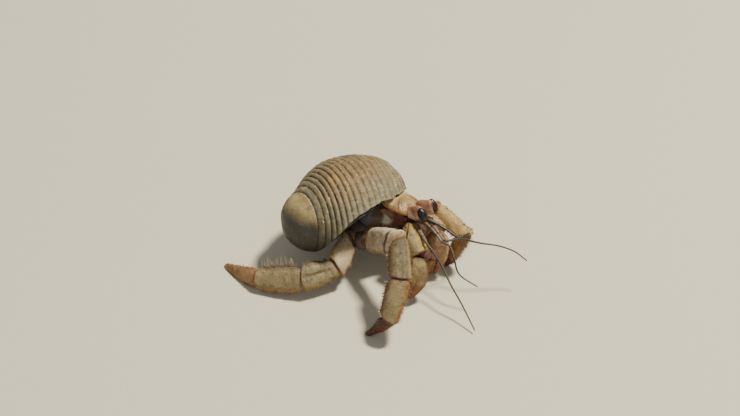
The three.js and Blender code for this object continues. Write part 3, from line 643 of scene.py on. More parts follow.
def dress_plate(plate, skin, seed, grain=0.04, teeth=(0, 0), tooth=0.6):
    """The plate's relief, its marks for the finish, and rows of teeth on its back and belly.
    Relief: soft lumps, a shallow furrow down each flank, cross ripples, a keel, and on a hand
    the slit between its fingers. Gives the skins, and the plate's own points and normals."""
    points, along, back = skin.points, skin.along, skin.back
    on_flank = smooth(np.abs(skin.flank), 0.5, 0.9)
    normal = outward_of(points)
    ripple = np.sin(points @ skin.way * 9.0 + wrinkle(points, 2.5, seed + 4) * 1.6) * on_flank
    lumps = wrinkle(points, 2.2, seed + 1) * 0.06 + wrinkle(points, 0.7, seed + 2) * grain + ripple * 0.012
    body = (smooth(along, 0.03, 0.12) * (1 - smooth(along, 0.93, 0.99)))[:, None]
    furrow = plate.furrow * np.exp(-((back - 0.12) / 0.20) ** 2) * on_flank * smooth(along, 0.2, 0.4)[:, None]
    slit = np.exp(-((back - plate.slit) / 0.06) ** 2) * smooth(along, 0.42, 0.56)[:, None]
    slit = slit * smooth(np.abs(skin.flank), 0.3, 0.6)
    keel = 0.08 * np.exp(-((1 - np.abs(back)) / 0.04) ** 2)
    points = points + normal * ((lumps + keel - furrow) * body - 0.34 * slit)[..., None]
    ends = np.maximum(np.exp(-(along / 0.05) ** 2), np.exp(-((1 - along) / 0.028) ** 2))
    parts = [rings_mesh(points, ends=ends[:, None], back=back, along=along[:, None], slit=slit)]
    rng = np.random.default_rng(seed)
    cols = points.shape[1]
    for count, column in zip(teeth, (0, cols // 2)):
        for place in np.linspace(0.14, 0.9, count):
            row = int(np.argmin(np.abs(along - place - rng.uniform(-0.015, 0.015))))
            spot = (column + rng.integers(-2, 3)) % cols
            lean = normal[row, spot] + skin.way * rng.uniform(0.5, 0.9)
            rings = spine(points[row, spot], lean, tooth * rng.uniform(0.6, 1.1))
            dark = np.linspace(0.3, 1, len(rings))[:, None]
            parts.append(rings_mesh(rings, back=back[spot], along=along[row], tooth=dark))
    return parts, points, normal


def horn(name, pale, deep, back, belly, rim, streak=0.0, band=None, end=None):
    """Grainy horn: pale and deep blotches, painted shade towards each plate's near end, coloured
    back and belly edges, a darker rim at the joints, tiny raised grains with light tips, a dark
    streak down the flank, a dark band, painted shade in a hand's slit, and another colour
    towards the far end."""
    made = Finish(name, 0.56)
    blotch, fine = made.noise(2.8, 4.0, 0.6), made.noise(0.5, 4.0, 0.65)
    grain, pits = made.cells(0.42), made.noise(0.7, 3.0, 0.7)
    back_mark, along = made.mark("back"), made.mark("along")
    colour = made.blend(blotch.over(0.34, 0.66), tint(deep), tint(pale))
    # Painted shade: each plate is darkened towards its near end.
    colour = made.blend((1 - along.over(0.0, 0.35)) * 0.4, colour, tint(deep))
    if end:
        colour = made.blend(along.over(0.42, 0.78) * (0.5 + blotch * 0.7), colour, tint(end))
    if streak:
        line = 1 - abs(back_mark - 0.12 + (blotch - 0.5) * 0.3).over(0.04, 0.20)
        colour = made.blend(line * (along * (1 - along) * 4.0) * streak, colour, tint("4a3c22"))
    if band:
        across = 1 - abs(along - band + (fine - 0.5) * 0.05).over(0.015, 0.055)
        colour = made.blend(across * 0.9, colour, tint("2c2413"))
        colour = made.blend(along.over(band + 0.04, band + 0.08) * 0.6, colour, tint("d6c497"))
    colour = made.blend((0.0 - back_mark).over(0.50, 0.98) * (0.45 + fine * 0.6), colour, tint(belly))
    colour = made.blend(back_mark.over(0.66, 0.98) * (0.5 + fine * 0.5), colour, tint(back))
    colour = made.blend(made.mark("ends") * (0.45 + blotch * 0.7), colour, tint(rim))
    colour = made.blend(fine.over(0.50, 0.68) * 0.6, colour, tint(deep), "MULTIPLY")
    tips = (1 - grain.over(0.06, 0.30)) * fine.over(0.42, 0.62)
    colour = made.blend(tips * 0.55, colour, tint("d8c69a"))
    colour = made.blend(pits.over(0.60, 0.72) * 0.65, colour, tint("3c2a1a"))
    colour = made.blend(made.mark("tooth").over(0.5, 1.0) * 0.6, colour, tint("4a2a18"))
    # Painted shade: near-black in the slit between a hand's fingers.
    colour = made.blend(made.mark("slit").over(0.15, 0.7) * 0.9, colour, tint("24120a"))
    rise = (1 - grain.over(0.05, 0.45)) * 0.8 + fine * 0.7 - pits.over(0.55, 0.75) * 0.5
    return made.wear(colour, made.bump(rise, 0.15), 0.48 + fine * 0.3)


BROWN = horn("brown_horn", "866a4a", "5a4230", "7d5638", "6a4a30", "5a3020")
REAR_MERUS = horn("rear_merus_horn", "c4b08c", "98846a", "b8a278", "a07c48", "7c4420")
NEAR_TOE = horn("near_toe_horn", "581408", "300a04", "641e0c", "260906", "6a3018")
NEAR_FINISH = {
    "ischium": BROWN,
    "merus": horn("near_merus_horn", "c2b294", "a28c70", "e0d4b0", "6e5030", "94704a", band=0.74),
    "carpus": horn("near_carpus_horn", "6c5d3c", "544828", "a48c60", "4a3418", "5a2c12", 0.45),
    "propodus": horn("near_propodus_horn", "80704a", "645434", "905a26", "3e1c0c", "5c2c12"),
    "dactyl": NEAR_TOE,
}
REAR_FINISH = {
    "ischium": BROWN,
    "merus": REAR_MERUS,
    "carpus": horn("rear_carpus_horn", "948660", "726648", "6c644a", "8a6c3c", "7c5c3c", 0.95),
    "propodus": horn("rear_propodus_horn", "94845c", "746444", "54402c", "8a622f", "785a40"),
    "dactyl": horn("rear_toe_horn", "ac885c", "84603a", "8a6236", "7c4a28", "7c4826"),
}
FAR_FINISH = {
    "ischium": BROWN,
    "merus": REAR_MERUS,
    "carpus": horn("far_carpus_horn", "c0a46c", "9c824e", "a88e58", "8c6c38", "80603a"),
    "propodus": horn("far_propodus_horn", "8c6032", "644020", "7c4820", "a0702e", "6e3216"),
    "dactyl": NEAR_TOE,
}
YELLOW_ARM = horn("near_arm_horn", "a8956c", "80704c", "a68628", "76582a", "6c3a18")
# The far claw arm is painted paler than its own rosy brown: painted light where the head shades it.
ROSY_ARM_PAINTED_LIGHT = horn("far_arm_painted_light_horn", "cdb684", "a88c68", "a88c64", "7a5a44", "80583c")

soft = Finish("joint_skin", 0.5)
crease = soft.noise(0.4, 3.0)
soft.wear(soft.blend(crease, tint("3a2216"), tint("604030")), soft.bump(crease, 0.08))

hair = Finish("brown_bristle", 0.45)
hair_colour = hair.blend(hair.noise(1.2, 2.0).over(0.35, 0.65), tint("5a4028"), tint("8e6e46"))
hair.wear(hair.blend(hair.mark("tip").over(0.3, 1.0) * 0.6, hair_colour, tint("b8935c")))
fringe_hair = Finish("fringe_bristle", 0.45)
fringe_mix = fringe_hair.noise(1.5, 2.0).over(0.35, 0.65)
fringe_hair.wear(fringe_hair.blend(fringe_mix, tint("86704e"), tint("cab68e")))
pale_hair = Finish("pale_bristle", 0.4)
pale_hair.wear(pale_hair.blend(pale_hair.noise(1.2, 2.0), tint("c9ac78"), tint("eedfb8")))


def ball(middle, axes, halves, rows=14, cols=20):
    """Rings of an ellipsoid with half sizes along three directions."""
    lift = np.linspace(-0.5 * np.pi, 0.5 * np.pi, rows + 2)[1:-1, None]
    turn = 2 * np.pi * np.arange(cols)[None, :] / cols
    shape = [np.cos(lift) * np.cos(turn), np.cos(lift) * np.sin(turn), np.sin(lift) + 0 * turn]
    return np.asarray(middle, float) + (np.stack(shape, -1) * halves) @ np.asarray(axes, float)


class Coat:
    """Hairs gathered over plates, then made into one mesh: each hair is a thin bent spike."""

    def __init__(self, name, seed):
        self.name = name
        self.rng = np.random.default_rng(seed)
        self.root, self.way, self.length, self.width, self.droop, self.uv = [], [], [], [], [], []

    def add(self, bed, root, way, length, width, droop, i, j):
        """Hairs at ring i and place j of a bed; each limb's plate has its own cell of a 6 by 6 map."""
        count, (rows, cols) = len(root), bed.points.shape[:2]
        self.root.append(root - way * 0.08)
        self.way.append(way)
        self.length.append(length * self.rng.uniform(0.55, 1.15, count))
        self.width.append(width * self.rng.uniform(0.7, 1.2, count))
        down = unit(np.c_[self.rng.normal(size=(count, 2)) * 0.4, -np.ones(count)])
        self.droop.append(self.rng.uniform(0.2, 1.0, (count, 1)) * droop * down)
        u, v = (cell + 0.04 + 0.9 * share for cell, share in zip(bed.cell, (j / cols, i / rows)))
        self.uv.append(np.c_[u, v] / 6)

    def grow(self, bed, count, where, length, width, lean_share=0.6, droop=0.25):
        """count hairs at random on a bed, kept where the share `where` allows."""
        rows, cols = bed.points.shape[:2]
        pick = self.rng.random((count * 6, 2))
        i = (pick[:, 0] * (rows - 1)).astype(int)
        j = (pick[:, 1] * cols).astype(int)
        keep = self.rng.random(len(i)) < np.broadcast_to(where, (rows, cols))[i, j]
        i, j = i[keep][:count], j[keep][:count]
        step = self.rng.random((len(i), 1))
        root = bed.points[i, j] * (1 - step) + bed.points[i, (j + 1) % cols] * step
        way = unit(bed.normal[i, j] + bed.way * lean_share + self.rng.normal(size=(len(i), 3)) * 0.35)
        self.add(bed, root, way, length, width, droop, i, j + step[:, 0])

    def comb(self, bed, column, count, length, width):
        """Stiff bristles in even steps along a bed, on one column or one beside it."""
        i = np.abs(bed.along[:, None] - np.linspace(0.12, 0.93, count)).argmin(0)
        j = (column + self.rng.integers(-1, 2, count)) % bed.points.shape[1]
        stray = self.rng.normal(size=(count, 3)) * (0.08 + 0.06 * length)
        way = unit(bed.normal[i, j] + bed.way * 0.2 + stray)
        self.add(bed, bed.points[i, j], way, length, width, 0.14, i, j)

    def piece(self, finish, slot):
        """Each hair: four rings of three points that narrow to the tip along a drooping line."""
        root, way, droop, uv = (np.vstack(k) for k in (self.root, self.way, self.droop, self.uv))
        length, width = (np.concatenate(k)[:, None, None, None] for k in (self.length, self.width))
        side = unit(np.cross(way, unit(self.rng.normal(size=way.shape))))
        other = np.cross(way, side)
        root, way, droop, side, other = (k[:, None, None] for k in (root, way, droop, side, other))
        ring = 2 * np.pi * np.arange(3) / 3
        around = side * np.cos(ring)[:, None] + other * np.sin(ring)[:, None]
        t = np.linspace(0, 1, 4)[None, :, None, None]
        line = root + way * length * t + droop * length * t ** 2 + around * width / 2 * (1 - 0.82 * t)
        line[..., 2] = np.maximum(line[..., 2], 0.02)
        first = np.arange(len(root))[:, None, None] * 12
        step = np.arange(3)[None, :, None] * 3
        here, beside = np.arange(3), (np.arange(3) + 1) % 3
        corners = [first + step + k for k in (here, beside, beside + 3, here + 3)]
        quads = np.stack(corners, -1).reshape(-1, 4)
        caps = np.vstack([first[:, 0] + [2, 1, 0], first[:, 0] + [9, 10, 11]])
        local = np.stack(np.broadcast_arrays(ring / 6.3, t[..., 0] + 0 * ring), -1)
        vert_uv = (uv[:, None, None] + 0.003 * (local - 0.5)).reshape(-1, 2)
        tip = np.broadcast_to(t[..., 0], line.shape[:3]).ravel()
        uv_maps = [vert_uv[quads], vert_uv[caps]]
        part = {"verts": line.reshape(-1, 3), "faces": [quads, caps], "uv": uv_maps, "marks": {"tip": tip}}
        make_piece(self.name, [part], finish, slot, uv_name="OFBake")


def build_limb(name, limb, seed, finishes, coat, teeth, fringe, combs=()):
    """All plates of a limb, one piece each, the soft skin between them, and its hairs.
    fringe: for a plate, rows of edge (1 back, -1 belly), hairs, length, width. combs: rows of
    coat, plate, column, bristles, length, width. A limb's wrist: the middle and half sizes of
    each ball of soft skin that joins it to its hand."""
    joints = np.array(limb["joints"], float)
    ways = unit(np.diff(joints, axis=0))
    cuts = [None, *unit(ways[:-1] + ways[1:]), None]
    plates = list(limb["plates"].values())
    humps = [0, *(0.09 * plate.depth[0] for plate in plates[1:]), 0]
    slot = "leg" if name.startswith("leg") else "claw"
    for k, (part, plate) in enumerate(limb["plates"].items()):
        toe = part == "dactyl"
        rims = {"cut_start": cuts[k], "cut_end": cuts[k + 1], "hump": humps[k:k + 2]}
        skin = plate_skin(plate, joints[k], joints[k + 1], tip=toe, **rims)
        parts, points, normal = dress_plate(plate, skin, seed + 10 * k, teeth=teeth.get(part, (0, 0)))
        for one in parts:
            one["verts"][:, 2] = np.maximum(one["verts"][:, 2], 0.0)
        make_piece(f"{name}_{part}_horn", parts, finishes[part], "dactyl" if toe else slot, f"{name}_{part}")
        bed = Bed(points, normal, skin.along, skin.way, (k, LIMB_CELL[name]))
        body = (smooth(skin.along, 0.06, 0.14) * (1 - smooth(skin.along, 0.9, 0.97)))[:, None]
        coat.grow(bed, 150, body * 0.5, 0.5, 0.05)
        for edge, count, long, thick in fringe.get(part, ()):
            coat.grow(bed, count, body * smooth(edge * skin.back, 0.45, 0.95), long, thick, 0.5, 0.35)
        for comb_coat, comb_part, column, count, long, thick in combs:
            if comb_part == part:
                comb_coat.comb(bed, column, count, long, thick)
    membranes = []
    for joint, cut, plate in zip(joints[1:], cuts[1:], plates[1:]):
        up = plate.up_across(cut)
        halves = [plate.thick[0] * 0.41, plate.depth[0] * 0.43, 0.9]
        membranes.append(rings_mesh(ball(joint, [np.cross(cut, up), up, cut], halves)))
    for middle, halves in limb.get("wrist", ()):
        membranes.append(rings_mesh(ball(middle, np.eye(3), halves)))
    make_piece(f"{name}_joint_skin", membranes, soft, "skin")


LIMB_CELL = {
    "leg2_right": 0, "leg3_right": 1, "leg2_left": 2, "leg3_left": 3, "claw_right": 4, "claw_left": 5,
}
TEETH = {"merus": (0, 7), "carpus": (10, 8), "propodus": (14, 14), "dactyl": (6, 6)}
FRINGE = {
    "merus": [(1, 90, 0.8, 0.06), (-1, 120, 0.9, 0.06)],
    "carpus": [(1, 120, 0.9, 0.06), (-1, 120, 0.9, 0.06)],
    "propodus": [(1, 220, 1.1, 0.06), (-1, 220, 0.9, 0.06)],
    "dactyl": [(1, 150, 0.7, 0.06), (-1, 150, 0.7, 0.06)],
}
NEAR_TEETH = {**TEETH, "propodus": (5, 9)}
REAR_FRINGE = {**FRINGE, "propodus": [(1, 60, 1.0, 0.06), (-1, 220, 0.8, 0.06)]}
FAR_REAR_FRINGE = {**FRINGE, "propodus": [(1, 160, 1.5, 0.1), (-1, 220, 0.8, 0.06)]}
combs = Coat("pale_comb_bristles", 4)
long_hairs = Coat("long_fringe_bristles", 14)
near_hairs = Coat("leg2_right_hairs", 5)
NEAR_COMBS = [
    (combs, "propodus", 24, 11, 1.25, 0.13),
    (combs, "carpus", 24, 6, 0.8, 0.1),
    (near_hairs, "dactyl", 0, 9, 0.9, 0.1),
]
REAR_COMBS = [
    (long_hairs, "propodus", 0, 34, 3.0, 0.17),
    (long_hairs, "carpus", 1, 14, 1.2, 0.12),
    (long_hairs, "merus", 0, 12, 1.0, 0.12),
    (combs, "merus", 24, 10, 0.8, 0.1),
    (combs, "carpus", 24, 14, 0.7, 0.09),
    (combs, "propodus", 24, 22, 0.6, 0.09),
]
LEGS = {
    "leg2_right": (LEG2_RIGHT, 100, NEAR_FINISH, near_hairs, NEAR_TEETH, FRINGE, NEAR_COMBS),
    "leg3_right": (LEG3_RIGHT, 200, REAR_FINISH, Coat("leg3_right_hairs", 6), TEETH, REAR_FRINGE, REAR_COMBS),
    "leg2_left": (LEG2_LEFT, 300, FAR_FINISH, Coat("leg2_left_hairs", 7), TEETH, FRINGE, ()),
    "leg3_left": (LEG3_LEFT, 400, REAR_FINISH, Coat("leg3_left_hairs", 8), TEETH, FAR_REAR_FRINGE, ()),
}
for name, (limb, seed, finishes, coat, teeth, fringe, leg_combs) in LEGS.items():
    build_limb(name, limb, seed, finishes, coat, teeth, fringe, leg_combs)
    coat.piece(hair, "leg")
combs.piece(pale_hair, "leg")
long_hairs.piece(fringe_hair, "leg")
ARMS = {"claw_right": (ARM_RIGHT, 500, YELLOW_ARM), "claw_left": (ARM_LEFT, 600, ROSY_ARM_PAINTED_LIGHT)}
arm_hairs = Coat("claw_arm_hairs", 9)
for name, (limb, seed, finish) in ARMS.items():
    finishes = {"ischium": BROWN, "merus": finish, "carpus": finish}
    build_limb(name, limb, seed, finishes, arm_hairs, {"carpus": (6, 0)}, {"carpus": FRINGE["carpus"][:1]})


# ------------------------------------------------------------------ hands
# The palm with its fixed finger, and the finger that shuts on it: thick grainy horn, darker
# towards the tips, with a slit between the fingers and a row of blunt teeth on the front edge.
NEAR_HAND = horn("near_hand_horn", "a08c5c", "7c6840", "5a3818", "7c4c26", "5a2812", end="78401e")
FINGERS = horn("finger_horn", "98703f", "7c5030", "7a4020", "a0582c", "8a3c1c")
BIG_HAND = horn("big_hand_horn", "a88460", "866848", "ac8c64", "74442c", "7c5a3c", end="824428")
NEAR_PALM = Plate(
    FORWARD_LEFT, (3.6, 4.4, 4.7, 4.5, 3.2, 1.2), (2.6, 3.3, 3.3, 2.6, 1.6, 0.8), 0.8, slit=0.05,
)
NEAR_FINGER = Plate(FORWARD_LEFT, (1.7, 1.8, 1.4, 0.8), (1.7, 1.6, 1.2, 0.7), -0.45)
BIG_PALM = Plate(
    FORWARD_LEFT, (4.0, 5.1, 5.3, 4.8, 3.5, 1.3), (3.0, 4.0, 4.0, 3.2, 2.0, 0.9), 0.5, slit=0.0,
)
BIG_FINGER = Plate(FORWARD_LEFT, (2.1, 2.3, 1.7, 0.9), (2.1, 2.1, 1.5, 0.8), -0.5)
HANDS = {
    "claw_right_palm": (NEAR_PALM, (9.7, -5.8, 10.6), (11.0, -11.3, 2.3), NEAR_HAND, 700, (3, 4)),
    "claw_right_finger": (NEAR_FINGER, (10.1, -9.3, 6.7), (10.1, -11.5, 2.4), FINGERS, 720, (4, 4)),
    "claw_left_palm": (BIG_PALM, (8.9, 1.9, 12.9), (9.2, 0.0, 1.6), BIG_HAND, 750, (3, 5)),
    "claw_left_finger": (BIG_FINGER, (9.1, -0.6, 6.6), (8.5, -0.6, 1.7), FINGERS, 770, (4, 5)),
}
for name, (plate, start, end, finish, seed, cell) in HANDS.items():
    skin = plate_skin(plate, start, end, tip=True, rows=60)
    parts, points, normal = dress_plate(plate, skin, seed, teeth=(5, 0), tooth=0.35)
    make_piece(f"{name}_horn", parts, finish, "claw", name)
    where = 0.5 * smooth(skin.along, 0.05, 0.2) + smooth(skin.along, 0.4, 0.8)
    arm_hairs.grow(Bed(points, normal, skin.along, skin.way, cell), 420, where[:, None], 0.7, 0.055)
arm_hairs.piece(hair, "claw")


# ------------------------------------------------------------------ head shield and flanks
# The hard, smooth shield over the head, a low arch with a shallow groove across it, and the
# thinner dark side plates that hang below its edges.
BODY_YAW, BODY_PITCH = np.radians([8.3, 5])
ROSTRUM = np.array([3.8, 0.8, 18.2])
SHIELD_DEPTH, SHIELD_WIDTH = (2.4, 2.8, 2.7, 2.2, 1.1), (5.8, 7.3, 7.4, 6.4, 2.2)


def on_body(x, y, z):
    """From the body's own axes, forward from the rostrum, left and up, to crab millimetres."""
    ahead = x * np.cos(BODY_PITCH) + z * np.sin(BODY_PITCH)
    return ROSTRUM + np.array([
        ahead * np.cos(BODY_YAW) - y * np.sin(BODY_YAW),
        ahead * np.sin(BODY_YAW) + y * np.cos(BODY_YAW),
        z * np.cos(BODY_PITCH) - x * np.sin(BODY_PITCH),
    ])


body_up = on_body(0, 0, 1) - on_body(0, 0, 0)
plate = Plate(body_up, SHIELD_DEPTH, SHIELD_WIDTH, 0.35)
ends = on_body(-8.6, 0, -1.5), on_body(0.3, 0, -0.7)
skin = plate_skin(plate, *ends, rows=110, cols=96, tip=True, square=2.2)
along, upper, flank = skin.along[:, None], smooth(skin.back, 0.1, 0.5), skin.flank
normal = outward_of(skin.points)
points = skin.points + body_up * (0.9 * (1 - smooth(along, 0.1, 0.8)) * smooth(flank, -0.5, 0.5))[..., None]
furrow = np.exp(-((along - 0.42 - 0.16 * np.abs(flank) ** 1.5) / 0.022) ** 2) * upper
notch = np.exp(-((np.abs(flank) - 0.42) / 0.09) ** 2) * upper
notch = notch * smooth(along, 0.55, 0.75) * (1 - smooth(along, 0.9, 1.0))
lumps = wrinkle(points, 2.4, 41) * 0.07 + wrinkle(points, 0.7, 42) * 0.025
points = points + normal * (lumps - 0.22 * furrow - 0.12 * notch)[..., None]
shield = rings_mesh(points, furrow=furrow + notch * 0.6, flank=flank, along=along)

shield_horn = Finish("shield_horn", 0.4)
tone, fine = shield_horn.noise(3.2, 4.0, 0.6), shield_horn.noise(0.6, 4.0, 0.6)
pit = shield_horn.cells(0.5)
colour = shield_horn.blend(tone.over(0.38, 0.58), tint("6c4a26"), tint("9c8050"))
patch = shield_horn.noise(1.4, 4.0, 0.65).over(0.50, 0.62)
colour = shield_horn.blend(patch * 0.75, colour, tint("b89c5c"))
# Cream towards the rear of the shield: partly its own pale back, partly painted light where the shell's lip
# shades it.
rear = shield_horn.mark("along").over(0.52, 0.25)
colour = shield_horn.blend(rear * (0.35 + tone * 0.7), colour, tint("ccb274"))
colour = shield_horn.blend(abs(shield_horn.mark("flank")).over(0.78, 1.0) * 0.6, colour, tint("80481f"))
colour = shield_horn.blend(shield_horn.mark("furrow") * 0.6, colour, tint("6e4826"))
colour = shield_horn.blend(fine.over(0.54, 0.70) * 0.6, colour, tint("54341c"))
rise = shield_horn.bump((1 - pit.over(0.02, 0.3)) * -0.6 + fine * 0.9, 0.12)
shield_horn.wear(colour, rise, 0.26 + fine * 0.35)
make_piece("head_shield", [shield], shield_horn, "shield", "shield")

flank_horn = Finish("flank_horn", 0.35)
tone, fine = flank_horn.noise(1.9, 3.0, 0.55), flank_horn.noise(0.5, 3.0)
along_mark, back_mark = flank_horn.mark("along"), flank_horn.mark("back")
colour = flank_horn.blend(tone.over(0.40, 0.60), tint("4e2c1c"), tint("7c563e"))
# A pale grey window on each side plate, its own marking, painted far paler than its own grey: painted light
# where it lies in shade.
pale_window_painted_light = 1 - abs(along_mark - 0.26 + (tone - 0.5) * 0.15).over(0.09, 0.17)
colour = flank_horn.blend(pale_window_painted_light * back_mark.over(0.25, -0.25), colour, tint("d6d0c8"))
# A paler top edge, made paler than its own brown as painted light where the shell's lip shades it.
colour = flank_horn.blend(back_mark.over(0.30, 0.85) * 0.8, colour, tint("8e6a4c"))
colour = flank_horn.blend(along_mark.over(0.42, 0.62) * 0.9, colour, tint("54200f"))
flank_horn.wear(colour, flank_horn.bump(fine, 0.08), 0.3 + fine * 0.25)
plate = Plate(body_up, (3.2, 3.8, 3.8, 2.6), (1.5, 1.9, 1.9, 1.3))
for name, sign in (("right", -1), ("left", 1)):
    ends = on_body(-8.4, sign * 2.75, -3.9), on_body(-1.0, sign * 2.5, -3.2)
    skin = plate_skin(plate, *ends, rows=48, cols=40, square=2.2)
    parts = dress_plate(plate, skin, 61 + sign, grain=0.02)[0]
    make_piece(f"flank_{name}_plate", parts, flank_horn, "flank", f"flank_{name}")


# ------------------------------------------------------------------ eyes
# Stalks flattened from side to side, orange-brown horn, each with a tall black cornea on the
# outer side of its tip.
EYES = {
    "right": ((2.4, -1.1, 17.4), (6.45, -0.4, 18.95), 1, 0.0),
    "left": ((2.5, 2.2, 17.5), (5.95, 2.85, 18.45), -1, 0.75),
}
CORNEA_HALVES = [1.0, 1.9, 1.25]


def drawn_in(skin, share):
    """A skin with each ring drawn in towards its own middle, to a share of its size."""
    middle = skin.points.mean(1, keepdims=True)
    return skin._replace(points=middle + (skin.points - middle) * share[:, None, None])


stalk_horn = Finish("stalk_horn", 0.32)
tone, fine = stalk_horn.noise(1.3, 3.0), stalk_horn.noise(0.35, 3.0)
colour = stalk_horn.blend(tone.over(0.40, 0.58), tint("8a6650"), tint("cfb092"))
top = stalk_horn.mark("back").over(0.10, 0.85)
colour = stalk_horn.blend(top * (0.4 + tone * 0.5), colour, tint("80502c"))
colour = stalk_horn.blend(stalk_horn.mark("ends") * 0.75, colour, tint("6a2c14"))
colour = stalk_horn.blend(fine.over(0.54, 0.70) * 0.5, colour, tint("5a3420"))
stalk_horn.wear(colour, stalk_horn.bump(fine + tone * 0.5, 0.10), 0.28 + fine * 0.25)
jet = Finish("black_cornea", 0.3)
facet, haze = jet.cells(0.09), jet.noise(1.5, 2.0)
colour = jet.blend(haze.over(0.3, 0.8) * 0.6, tint("120806"), tint("2c1610"))
jet.wear(colour, jet.bump(1 - facet, 0.008), 0.24 + haze * 0.14)
plate = Plate((-0.25, 0, 1), (2.6, 3.5, 3.9, 3.9), (1.9, 2.2, 2.3, 2.2))
for name, (start, end, outer, cover) in EYES.items():
    start, end = np.array(start), np.array(end)
    tip_at = end + unit(end - start) * cover
    skin = plate_skin(plate, start, tip_at, rows=44, cols=40, tip=True, square=2.1)
    skin = drawn_in(skin, 1 - (0.45 - 0.4 * cover) * smooth(skin.along, 0.82, 1.0) ** 2)
    parts = dress_plate(plate, skin, 71 + outer, grain=0.01)[0]
    make_piece(f"eyestalk_{name}_horn", parts, stalk_horn, "eyestalk", f"eyestalk_{name}")
    middle = end + skin.way * 0.3 + skin.side * 0.75 * outer
    bead = ball(middle, [skin.side, skin.up, skin.way], CORNEA_HALVES, 30, 36)
    tall, ahead = (bead - middle) @ skin.up / CORNEA_HALVES[1], (bead - middle) @ skin.way
    bead = bead - skin.way * (0.25 * tall ** 2 * ahead + 0.22 * tall)[..., None]
    make_piece(f"cornea_{name}_glass", [rings_mesh(bead)], jet, "cornea", f"cornea_{name}")


# ------------------------------------------------------------------ feelers and mouthparts
# Ringed horny feelers: the two long whips on their jointed bases, and the bent antennules with
# their tips; below the head hang the two hairy maxillipeds.
WHIPS = {
    "antenna_whip_right": (0.30, 0.17, [
        (10.2, -4.05, 14.65), (10.9, -4.2, 14.3), (12.4, -4.4, 13.5), (16.3, -5.0, 10.5),
        (19.8, -6.3, 8.0), (23.6, -7.1, 5.0), (29.5, -9.1, 1.0),
    ]),
    "antenna_whip_left": (0.30, 0.16, [
        (12.3, -0.2, 13.8), (13.1, -0.1, 13.8), (15.0, 2.3, 14.0), (19.8, 4.5, 13.9),
        (23.3, 7.4, 13.0), (26.1, 10.0, 11.0), (28.9, 11.1, 9.0),
    ]),
    "antennule_tip_right": (0.30, 0.16, [
        (12.6, -1.3, 14.35), (13.3, -1.2, 14.25), (14.9, -0.8, 13.7), (17.1, -1.9, 12.0),
        (19.5, -2.9, 9.0), (24.5, -1.9, 7.0),
    ]),
    "antennule_tip_left": (0.32, 0.24, [
        (13.3, 3.0, 13.52), (14.0, 3.2, 13.45), (15.0, 4.5, 13.6), (15.9, 5.7, 14.1),
    ]),
}
RING_PITCH = 0.55
MOUTH_LEGS = {
    "right": ((3.9, -0.9, 14.0), (6.0, -0.9, 8.6)),
    "left": ((3.9, 1.5, 14.0), (6.0, 1.0, 8.6)),
}


def bent_line(points, count):
    """Points evenly along a smooth line through the given ones, and its length: each span is a
    cubic whose slopes come from its neighbours."""
    p = np.asarray(points, float)
    gap = np.r_[0, np.cumsum(np.linalg.norm(np.diff(p, axis=0), axis=1) ** 0.5)]
    slope = np.gradient(p, gap, axis=0)
    q = np.linspace(0, gap[-1], count * 6)
    k = np.clip(np.searchsorted(gap, q, "right") - 1, 0, len(p) - 2)
    h = (gap[k + 1] - gap[k])[:, None]
    t = ((q - gap[k]) / h[:, 0])[:, None]
    line = (2 * t ** 3 - 3 * t ** 2 + 1) * p[k] + (t ** 3 - 2 * t ** 2 + t) * h * slope[k]
    line += (3 * t ** 2 - 2 * t ** 3) * p[k + 1] + (t ** 3 - t ** 2) * h * slope[k + 1]
    run = np.r_[0, np.cumsum(np.linalg.norm(np.diff(line, axis=0), axis=1))]
    even = np.linspace(0, run[-1], count)
    return np.stack([np.interp(even, run, line[:, n]) for n in range(3)], -1), run[-1]


def feeler_skin(points, root, tip):
    """A ringed rod: the radius falls evenly and dips at each joint, RING_PITCH apart."""
    length = bent_line(points, 16 * len(points))[1]
    count = int(length / RING_PITCH * 5)
    line, length = bent_line(points, count)
    way = unit(np.gradient(line, axis=0))
    side = unit(np.cross(way, [0.2, 0.3, 0.9]))[:, None]
    other = np.cross(way, side[:, 0])[:, None]
    run = np.linspace(0, length, count)
    joint = 0.5 + 0.5 * np.cos(2 * np.pi * run / RING_PITCH)
    radius = np.linspace(root, tip, count) * (1 - 0.16 * joint ** 3)
    radius *= 1 - 0.7 * smooth(run / length, 0.985, 1.0)
    ring = 2 * np.pi * np.arange(10) / 10
    around = side * np.cos(ring)[:, None] + other * np.sin(ring)[:, None]
    return rings_mesh(line[:, None] + around * radius[:, None, None], joint=joint[:, None] ** 2)


feeler_horn = Finish("feeler_horn", 0.4)
tone = feeler_horn.noise(1.0, 2.0)
colour = feeler_horn.blend(tone, tint("2a2418"), tint("51442c"))
colour = feeler_horn.blend(feeler_horn.mark("joint") * 0.5, colour, tint("1a1510"))
feeler_horn.wear(colour, feeler_horn.bump(tone, 0.02), 0.32 + tone * 0.2)
pale_feeler = Finish("pale_feeler_horn", 0.4)
tone = pale_feeler.noise(0.9, 2.0)
colour = pale_feeler.blend(tone, tint("4c3a30"), tint("7a6450"))
colour = pale_feeler.blend(pale_feeler.mark("ends") * 0.7, colour, tint("3a2a1c"))
pale_feeler.wear(colour, pale_feeler.bump(tone, 0.03))
